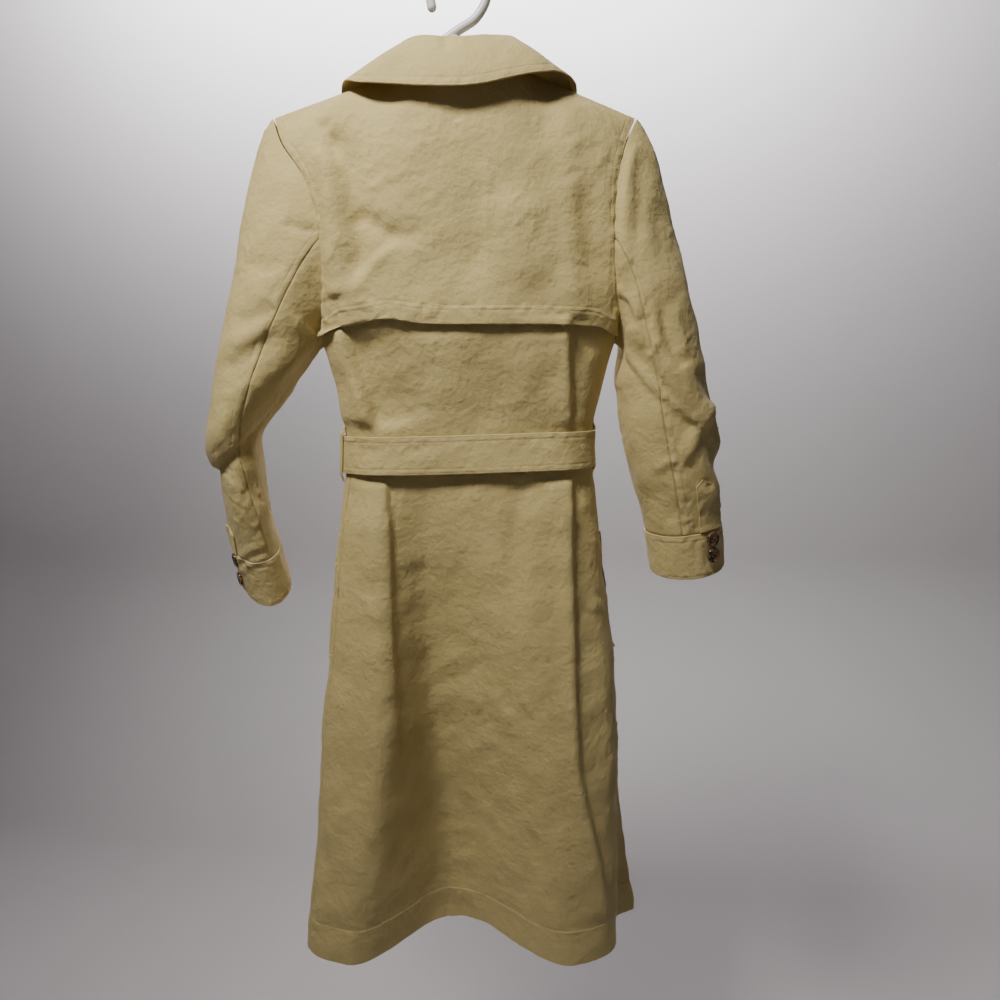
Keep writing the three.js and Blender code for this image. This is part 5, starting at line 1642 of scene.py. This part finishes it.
def front_seat(x, z):
    """Point of the body's front at a place, and the way out of it."""
    turn = turn_at_x(1, x, np.array(float(z)))
    across = body(turn + 0.01, z) - body(turn - 0.01, z)
    rise = body(turn, z + 11) - body(turn, z - 11)
    return body(turn, z), unit(np.cross(across, rise))


def sleeve_seat(side, w, row):
    across = sleeve_point(side, w + 0.01, row) - sleeve_point(side, w - 0.01, row)
    down = sleeve_point(side, w, row + 0.05) - sleeve_point(side, w, row - 0.05)
    return sleeve_point(side, w, row), unit(np.cross(across, down) * side)


COAT_BUTTON_RADIUS = 11
CUFF_BUTTON_RADIUS = 9
BUTTON_COLUMN_X = 56
BUTTON_HEIGHTS = (-392, -446, -578, -652)
CUFF_BUTTON_ROWS = {1: (5.2, 5.55), -1: (5.27, 5.72)}


def build_buttons():
    """Front buttons in two columns and two buttons on each cuff, all with four holes."""
    blanks = {radius: button_blank(radius) for radius in (COAT_BUTTON_RADIUS, CUFF_BUTTON_RADIUS)}
    places = {}
    for side, word in SIDES.items():
        for k, z in enumerate(BUTTON_HEIGHTS):
            seat = front_seat(MIDDLE_X + side * BUTTON_COLUMN_X, z)
            places[f"front_button_{word}_{k + 1}"] = (COAT_BUTTON_RADIUS, seat, 0.5)
        for k, row in enumerate(CUFF_BUTTON_ROWS[side]):
            seat = sleeve_seat(side, STRAPS[side]["w"], row)
            places[f"cuff_button_{word}_{k + 1}"] = (CUFF_BUTTON_RADIUS, seat, 1.8)
    threads = []
    for name, (radius, (seat, out), lift) in places.items():
        at = seat + out * lift
        points, faces = blanks[radius]
        mesh = joined_mesh(name, [(turned_to(points, out, at), faces)])
        finished(name, mesh, shell_plastic(), "shell_plastic", name)
        threads += [(turned_to(part, out, at), part_faces) for part, part_faces in button_threads(radius)]
    sewn = joined_mesh("button_threads", threads)
    finished("button_threads", sewn, sewing_thread(), "cotton_gabardine")


BUCKLE = {"wide": 60, "tall": 64, "rim": 7, "bar": 5, "prong": 4, "thick": 4, "corner": 9}


def build_buckle():
    """Buckle of a rounded frame, a middle bar and a prong, fastened on the belt's end."""
    size = BUCKLE
    half_x, half_z = (size["wide"] - size["rim"]) / 2, (size["tall"] - size["rim"]) / 2
    corner = size["corner"]
    middle_z = (BELT_TOP + BELT_BOTTOM) / 2
    seat = front_seat(MIDDLE_X, middle_z)[0]
    middle = np.array([seat[0], seat[1] + BELT_END_LIFT + 1.1 + size["thick"] / 2, middle_z])
    frame_path = []
    for quarter, (x, z) in enumerate(((1, 1), (-1, 1), (-1, -1), (1, -1))):
        for angle in np.linspace(0, np.pi / 2, 9) + quarter * np.pi / 2:
            frame_path.append([x * (half_x - corner) + corner * math.cos(angle), 0,
                               z * (half_z - corner) + corner * math.sin(angle)])
    out = np.array([0.0, 1, 0])
    parts = [swept(frame_path, np.tile(out, (len(frame_path), 1)), size["rim"], size["thick"], True, 16)]
    bar = np.linspace([0, 0, -half_z], [0, 0, half_z], 12)
    parts.append(swept(bar, np.tile(out, (12, 1)), size["bar"], size["thick"] * 0.8, False, 12))
    reach = np.linspace(-size["bar"] / 2, half_x + size["rim"] * 0.4, 14)
    rise = 1.6 * smooth((reach - half_x * 0.5) / (half_x * 0.5))
    prong = np.stack([reach, 0.6 + rise, np.zeros(14)], -1)
    parts.append(swept(prong, np.tile(out, (14, 1)), size["prong"], size["thick"] * 0.6, False, 12))
    parts = [(points + middle, faces) for points, faces in parts]
    finished("buckle", joined_mesh("buckle", parts), shell_plastic(), "shell_plastic", "buckle")


EYELET = {"seen_at": (580, 446.5), "radius": 2.1, "edge": 0.55}


def build_eyelet():
    """Stitched eyelet near the end of the belt that shows behind."""
    turns, shares = np.meshgrid(np.linspace(0.1, 0.3, 240), np.linspace(0.1, 0.9, 60))
    points = belt_point(turns, shares)
    off = np.linalg.norm(seen_at(points) - EYELET["seen_at"], axis=-1)
    j, i = np.unravel_index(np.argmin(off), off.shape)
    way = outward(points, 1, False)[j, i]
    at = points[j, i] + way * (BELT_LIFT + 0.1)
    angle = np.arange(28) / 28 * 2 * np.pi
    wobble = EYELET["radius"] + 0.12 * np.sin(angle * 14)
    ring = np.stack([wobble * np.cos(angle), wobble * np.sin(angle), np.full(28, 0.15)], -1)
    ups = np.tile([0.0, 0, 1], (28, 1))
    points, faces = swept(ring, ups, EYELET["edge"] * 2, EYELET["edge"] * 1.6, True, 8, 2.0)
    rim = joined_mesh("eyelet", [(turned_to(points, way, at), faces)])
    finished("eyelet_edge", rim, sewing_thread(), "cotton_gabardine")
    profile = [(0, -0.8), (1.4, -0.8), (1.75, -0.3), (1.8, 0.15), (1.2, 0.22), (0, 0.12)]
    points, faces = lathe(profile, 20)
    hole = joined_mesh("eyelet_hole", [(turned_to(points, way, at), faces)])
    # Painted shade: a dark disc in the eyelet stands in for the shade down its hole
    finished("eyelet_hole", hole, shared("hole", hole_shade), "cotton_gabardine")


HOOK = {"radius": 30, "tube": 5, "from": 200, "to": 0}
LEFT_ARM = [
    (19, -45), (-1, -58), (-31, -78), (-75, -120.7), (-130, -137.7),
    (-178, -156), (-188, -165), (-180, -176),
]
BAR = [(-150, -180), (140, -180), (170, -176), (178, -165)]
RIGHT_ARM = [(178, -165), (170, -153.6), (125, -135.2), (80, -116.2), (13, -77), (-8, -64)]


def smooth_path(points, step):
    """Even points on a smooth curve through some points, its knots spaced by the root of their reach."""
    points = np.array(points, float)
    points = np.vstack([2 * points[0] - points[1], points, 2 * points[-1] - points[-2]])
    knots = np.concatenate([[0], np.cumsum(np.linalg.norm(np.diff(points, axis=0), axis=1) ** 0.5)])
    found = []
    for k in range(1, len(points) - 2):
        p, t = points[k - 1:k + 3], knots[k - 1:k + 3]
        at = np.linspace(t[1], t[2], 24, endpoint=k == len(points) - 3)[:, None]

        def between(a, b, left, right, at=at):
            return a * (right - at) / (right - left) + b * (at - left) / (right - left)

        a1, a2, a3 = (between(p[m], p[m + 1], t[m], t[m + 1]) for m in range(3))
        b1, b2 = between(a1, a2, t[0], t[2]), between(a2, a3, t[1], t[3])
        found.append(between(b1, b2, t[1], t[2]))
    found = np.vstack(found)
    run = np.concatenate([[0], np.cumsum(np.linalg.norm(np.diff(found, axis=0), axis=1))])
    even = np.linspace(0, run[-1], int(run[-1] / step) + 1)
    return np.stack([np.interp(even, run, found[:, axis]) for axis in range(found.shape[1])], -1)


def build_hanger():
    """White tube hanger: a hook bent on into the left arm and the bar, and the right arm."""
    looks = bpy.context.scene.coat_looks
    angles = np.radians(np.linspace(HOOK["from"], HOOK["to"], 9))
    middle_z = HOOK["tube"] - HOOK["radius"]
    hook = [(HOOK["radius"] * math.cos(a), middle_z + HOOK["radius"] * math.sin(a)) for a in angles]
    points, edges = [], []
    for path in (hook + LEFT_ARM + BAR, RIGHT_ARM):
        line = smooth_path(path, 3.2)
        edges += [(len(points) + k, len(points) + k + 1) for k in range(len(line) - 1)]
        points += [(x * MM, 0, z * MM) for x, z in line]
    mesh = bpy.data.meshes.new("tube")
    mesh.from_pydata(points, edges, [])
    sizes = {"Radius": looks.tube_radius, "Sides": 20, "Thread": hanger_plastic()}
    made = grown(linked("tube", mesh), tube_tree(), sizes)
    ends = [smooth_path(hook + LEFT_ARM, 3.2)[0], smooth_path(RIGHT_ARM, 3.2)[-1]]
    work = bmesh.new()
    work.from_mesh(made.data)
    for x, z in ends:
        place = Matrix.Translation((x * MM, 0, z * MM))
        bmesh.ops.create_uvsphere(
            work, u_segments=20, v_segments=10, radius=looks.tube_radius, matrix=place)
    bmesh.ops.recalc_face_normals(work, faces=work.faces)
    work.to_mesh(made.data)
    work.free()
    made.data.polygons.foreach_set("use_smooth", np.ones(len(made.data.polygons), bool))
    made.name = made.data.name = "hanger_piece"
    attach(made, "root")
    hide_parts("hanger")


# Stage: a pale floor swept up behind the coat, soft lights from above, and the camera
FLOOR_Z = -1.75
BACK_Y = 1.75
SWEEP_RADIUS = 0.7
STAGE_HALF = 5.0
STAGE_FRONT = -4.5
STAGE_TOP = 3.2
KEY_AIM = (-0.06, 0, -0.28)
KEY_COLOUR = (1.0, 0.97, 0.92)
FILL_COLOUR = (1.0, 0.985, 0.96)
WALL_COLOUR = (0.99, 0.97, 1.0)
WALL_SIZE = 2.2
WALL_AIM = (0, 1.75, 1.8)


def build_stage():
    """Floor and sweep in one sheet, three lights and the camera at the photograph's place."""
    looks = bpy.context.scene.coat_looks
    angles = np.linspace(0, math.pi / 2, 17)
    profile = [(STAGE_FRONT, FLOOR_Z)]
    profile += [(BACK_Y - SWEEP_RADIUS + SWEEP_RADIUS * math.sin(a),
                 FLOOR_Z + SWEEP_RADIUS - SWEEP_RADIUS * math.cos(a)) for a in angles]
    profile.append((BACK_Y, STAGE_TOP))
    points = [(x, y, z) for x in (-STAGE_HALF, STAGE_HALF) for y, z in profile]
    count = len(profile)
    faces = [(k, count + k, count + k + 1, k + 1) for k in range(count - 1)]
    mesh = bpy.data.meshes.new("studio_sweep")
    mesh.from_pydata(points, [], faces)
    mesh.polygons.foreach_set("use_smooth", np.ones(len(faces), bool))
    mesh.materials.append(shared("painted wall", painted_wall))
    linked("studio_sweep", mesh)
    key = place_light("key_light", looks.key_place, looks.key_power, looks.key_size, KEY_COLOUR, KEY_AIM)
    key.spread = looks.key_spread
    place_light("fill_light", looks.fill_place, looks.fill_power, looks.fill_size, FILL_COLOUR)
    place_light("wall_light", looks.wall_place, looks.wall_power, WALL_SIZE, WALL_COLOUR, WALL_AIM)
    world = bpy.data.worlds.new("studio air")
    world.use_nodes = True
    background = world.node_tree.nodes["Background"]
    background.inputs["Color"].default_value = (0.88, 0.86, 0.84, 1)
    background.inputs["Strength"].default_value = looks.air_light
    bpy.context.scene.world = world
    camera = bpy.data.objects.new("camera", bpy.data.cameras.new("camera"))
    camera.data.lens = FOCAL_POINTS / (2 * PICTURE_MIDDLE) * SENSOR_WIDTH
    camera.data.sensor_width = SENSOR_WIDTH
    camera.location = CAMERA_PLACE * MM
    camera.rotation_euler = (math.pi / 2 - CAMERA_PITCH, 0, 0)
    bpy.context.scene.collection.objects.link(camera)
    bpy.context.scene.camera = camera


def place_light(name, place, power, size, colour, aim=(0.02, 0, -0.55)):
    light = bpy.data.lights.new(name, "AREA")
    light.energy, light.size, light.color = power, size, colour
    made = bpy.data.objects.new(name, light)
    made.location = place
    made.rotation_euler = (Vector(aim) - Vector(place)).to_track_quat("-Z", "Y").to_euler()
    bpy.context.scene.collection.objects.link(made)
    return light


# Settings, operators and the panel
class CoatLooks(PropertyGroup):
    """Sizes, colours and lights that a user may change."""

    crease_strength: FloatProperty(
        name="Crease strength", description="Share of the creases' full rise", default=1.25, min=0, max=2)
    undulation: FloatProperty(
        name="Undulation", description="Rise of the cloth's soft waves", default=0.0010, unit="LENGTH")
    crumple: FloatProperty(
        name="Crumple", description="Rise of short sharp creases", default=0.0009, unit="LENGTH")
    stitch_length: FloatProperty(
        name="Stitch length", description="Length of a stitch that shows", default=0.0026, unit="LENGTH")
    stitch_pitch: FloatProperty(
        name="Stitch pitch", description="From one stitch to the next", default=0.0034, unit="LENGTH")
    stitch_thickness: FloatProperty(
        name="Thread thickness", description="Thickness of the thread", default=0.00055, unit="LENGTH")
    tube_radius: FloatProperty(
        name="Hanger tube", description="Radius of the hanger's tube", default=0.005, unit="LENGTH")
    sheen: FloatProperty(
        name="Cloth sheen", description="Soft shine of the cloth", default=0.08, min=0, max=1)
    groove_shade: FloatProperty(
        name="Groove shade", description="How much darker seams and stitch rows are", default=0.24,
        min=0, max=1)
    cloth_colour: FloatVectorProperty(
        name="Cloth", description="Colour of the cloth", subtype="COLOR", default=(0.61, 0.490, 0.212))
    thread_colour: FloatVectorProperty(
        name="Thread", description="Colour of the thread", subtype="COLOR", default=(0.74, 0.63, 0.35))
    shell_dark: FloatVectorProperty(
        name="Shell dark", description="Dark streaks of the buttons", subtype="COLOR",
        default=(0.016, 0.008, 0.004))
    shell_amber: FloatVectorProperty(
        name="Shell amber", description="Amber of the buttons", subtype="COLOR",
        default=(0.19, 0.085, 0.028))
    shell_pale: FloatVectorProperty(
        name="Shell horn", description="Pale streaks of the buttons", subtype="COLOR",
        default=(0.46, 0.33, 0.19))
    hanger_colour: FloatVectorProperty(
        name="Hanger", description="Colour of the hanger", subtype="COLOR", default=(0.83, 0.82, 0.79))
    studio_colour: FloatVectorProperty(
        name="Studio", description="Paint of the floor and sweep", subtype="COLOR",
        default=(0.66, 0.635, 0.64))
    key_place: FloatVectorProperty(
        name="Key place", description="Where the key light hangs", subtype="XYZ",
        default=(-0.50, -0.80, 0.85))
    key_power: FloatProperty(name="Key power", description="Power of the key light in watts", default=5.6)
    key_size: FloatProperty(
        name="Key size", description="Side of the key light", default=0.34, unit="LENGTH")
    key_spread: FloatProperty(
        name="Key spread", description="Angle over which the key light shines", default=math.radians(75),
        subtype="ANGLE")
    fill_place: FloatVectorProperty(
        name="Fill place", description="Where the fill light hangs", subtype="XYZ",
        default=(-1.6, -2.4, 0.6))
    fill_power: FloatProperty(name="Fill power", description="Power of the fill light in watts", default=1)
    fill_size: FloatProperty(
        name="Fill size", description="Side of the fill light", default=2.6, unit="LENGTH")
    wall_place: FloatVectorProperty(
        name="Wall place", description="Where the wall light hangs", subtype="XYZ",
        default=(-0.1, 1.0, 1.8))
    wall_power: FloatProperty(name="Wall power", description="Power of the wall light in watts", default=230)
    air_light: FloatProperty(
        name="Air light", description="Strength of the light from all round", default=0.06)


class COAT_OT_back(Operator):
    """Build the one-piece back."""

    bl_idname = "coat.back"
    bl_label = "Back"

    def execute(self, context):
        build_back()
        return {"FINISHED"}


class COAT_OT_flap(Operator):
    """Build the loose flap over the upper back."""

    bl_idname = "coat.flap"
    bl_label = "Storm flap"

    def execute(self, context):
        build_flap()
        return {"FINISHED"}


class COAT_OT_fronts(Operator):
    """Build the two fronts, one lying over the other."""

    bl_idname = "coat.fronts"
    bl_label = "Fronts"

    def execute(self, context):
        for side in SIDES:
            build_front(side)
        return {"FINISHED"}


class COAT_OT_lapels(Operator):
    """Build the lapels turned back over the fronts."""

    bl_idname = "coat.lapels"
    bl_label = "Lapels"

    def execute(self, context):
        for side in SIDES:
            build_lapel(side)
        return {"FINISHED"}


class COAT_OT_sleeves(Operator):
    """Build both sleeves, each of an upper and an under piece."""

    bl_idname = "coat.sleeves"
    bl_label = "Sleeves"

    def execute(self, context):
        for side in SIDES:
            build_sleeve(side)
        return {"FINISHED"}


class COAT_OT_cuffs(Operator):
    """Build the cuffs and the straps above them."""

    bl_idname = "coat.cuffs"
    bl_label = "Cuffs"

    def execute(self, context):
        for side in SIDES:
            build_cuff(side)
            build_strap(side)
        return {"FINISHED"}


class COAT_OT_collar(Operator):
    """Build the collar's stand and its turned-down leaf."""

    bl_idname = "coat.collar"
    bl_label = "Collar"

    def execute(self, context):
        build_collar()
        return {"FINISHED"}


class COAT_OT_pockets(Operator):
    """Build the welts of the pockets in the side seams."""

    bl_idname = "coat.pockets"
    bl_label = "Pocket welts"

    def execute(self, context):
        for side in SIDES:
            build_welt(side)
        return {"FINISHED"}


class COAT_OT_belt(Operator):
    """Build the belt, its end, its loops and its eyelet."""

    bl_idname = "coat.belt"
    bl_label = "Belt"

    def execute(self, context):
        build_belt()
        build_loops()
        build_eyelet()
        return {"FINISHED"}


class COAT_OT_buckle(Operator):
    """Build the belt's buckle."""

    bl_idname = "coat.buckle"
    bl_label = "Buckle"

    def execute(self, context):
        build_buckle()
        return {"FINISHED"}


class COAT_OT_buttons(Operator):
    """Build the buttons and their threads."""

    bl_idname = "coat.buttons"
    bl_label = "Buttons"

    def execute(self, context):
        build_buttons()
        return {"FINISHED"}


class COAT_OT_hanger(Operator):
    """Build the tube hanger that holds the coat."""

    bl_idname = "coat.hanger"
    bl_label = "Hanger"

    def execute(self, context):
        build_hanger()
        return {"FINISHED"}


class COAT_OT_stage(Operator):
    """Set the floor, the lights and the camera."""

    bl_idname = "coat.stage"
    bl_label = "Stage"

    def execute(self, context):
        build_stage()
        return {"FINISHED"}


OPERATORS = (
    COAT_OT_back,
    COAT_OT_flap,
    COAT_OT_fronts,
    COAT_OT_lapels,
    COAT_OT_sleeves,
    COAT_OT_cuffs,
    COAT_OT_collar,
    COAT_OT_pockets,
    COAT_OT_belt,
    COAT_OT_buckle,
    COAT_OT_buttons,
    COAT_OT_hanger,
    COAT_OT_stage,
)


class COAT_PT_panel(Panel):
    """Buttons that build the coat, and the settings that they read."""

    bl_idname = "COAT_PT_panel"
    bl_label = "Trench coat"
    bl_space_type = "VIEW_3D"
    bl_region_type = "UI"
    bl_category = "Coat"

    def draw(self, context):
        for operator in OPERATORS:
            self.layout.operator(operator.bl_idname)
        for name in CoatLooks.__annotations__:
            self.layout.prop(context.scene.coat_looks, name)


def register():
    for made in (CoatLooks, *OPERATORS, COAT_PT_panel):
        bpy.utils.register_class(made)
    bpy.types.Scene.coat_looks = PointerProperty(type=CoatLooks)


def unregister():
    del bpy.types.Scene.coat_looks
    for made in (COAT_PT_panel, *reversed(OPERATORS), CoatLooks):
        bpy.utils.unregister_class(made)


def main():
    """Register the panel and build everything."""
    register()
    for operator in OPERATORS:
        getattr(bpy.ops.coat, operator.bl_idname.split(".")[1])()


if __name__ == "__main__":
    main()
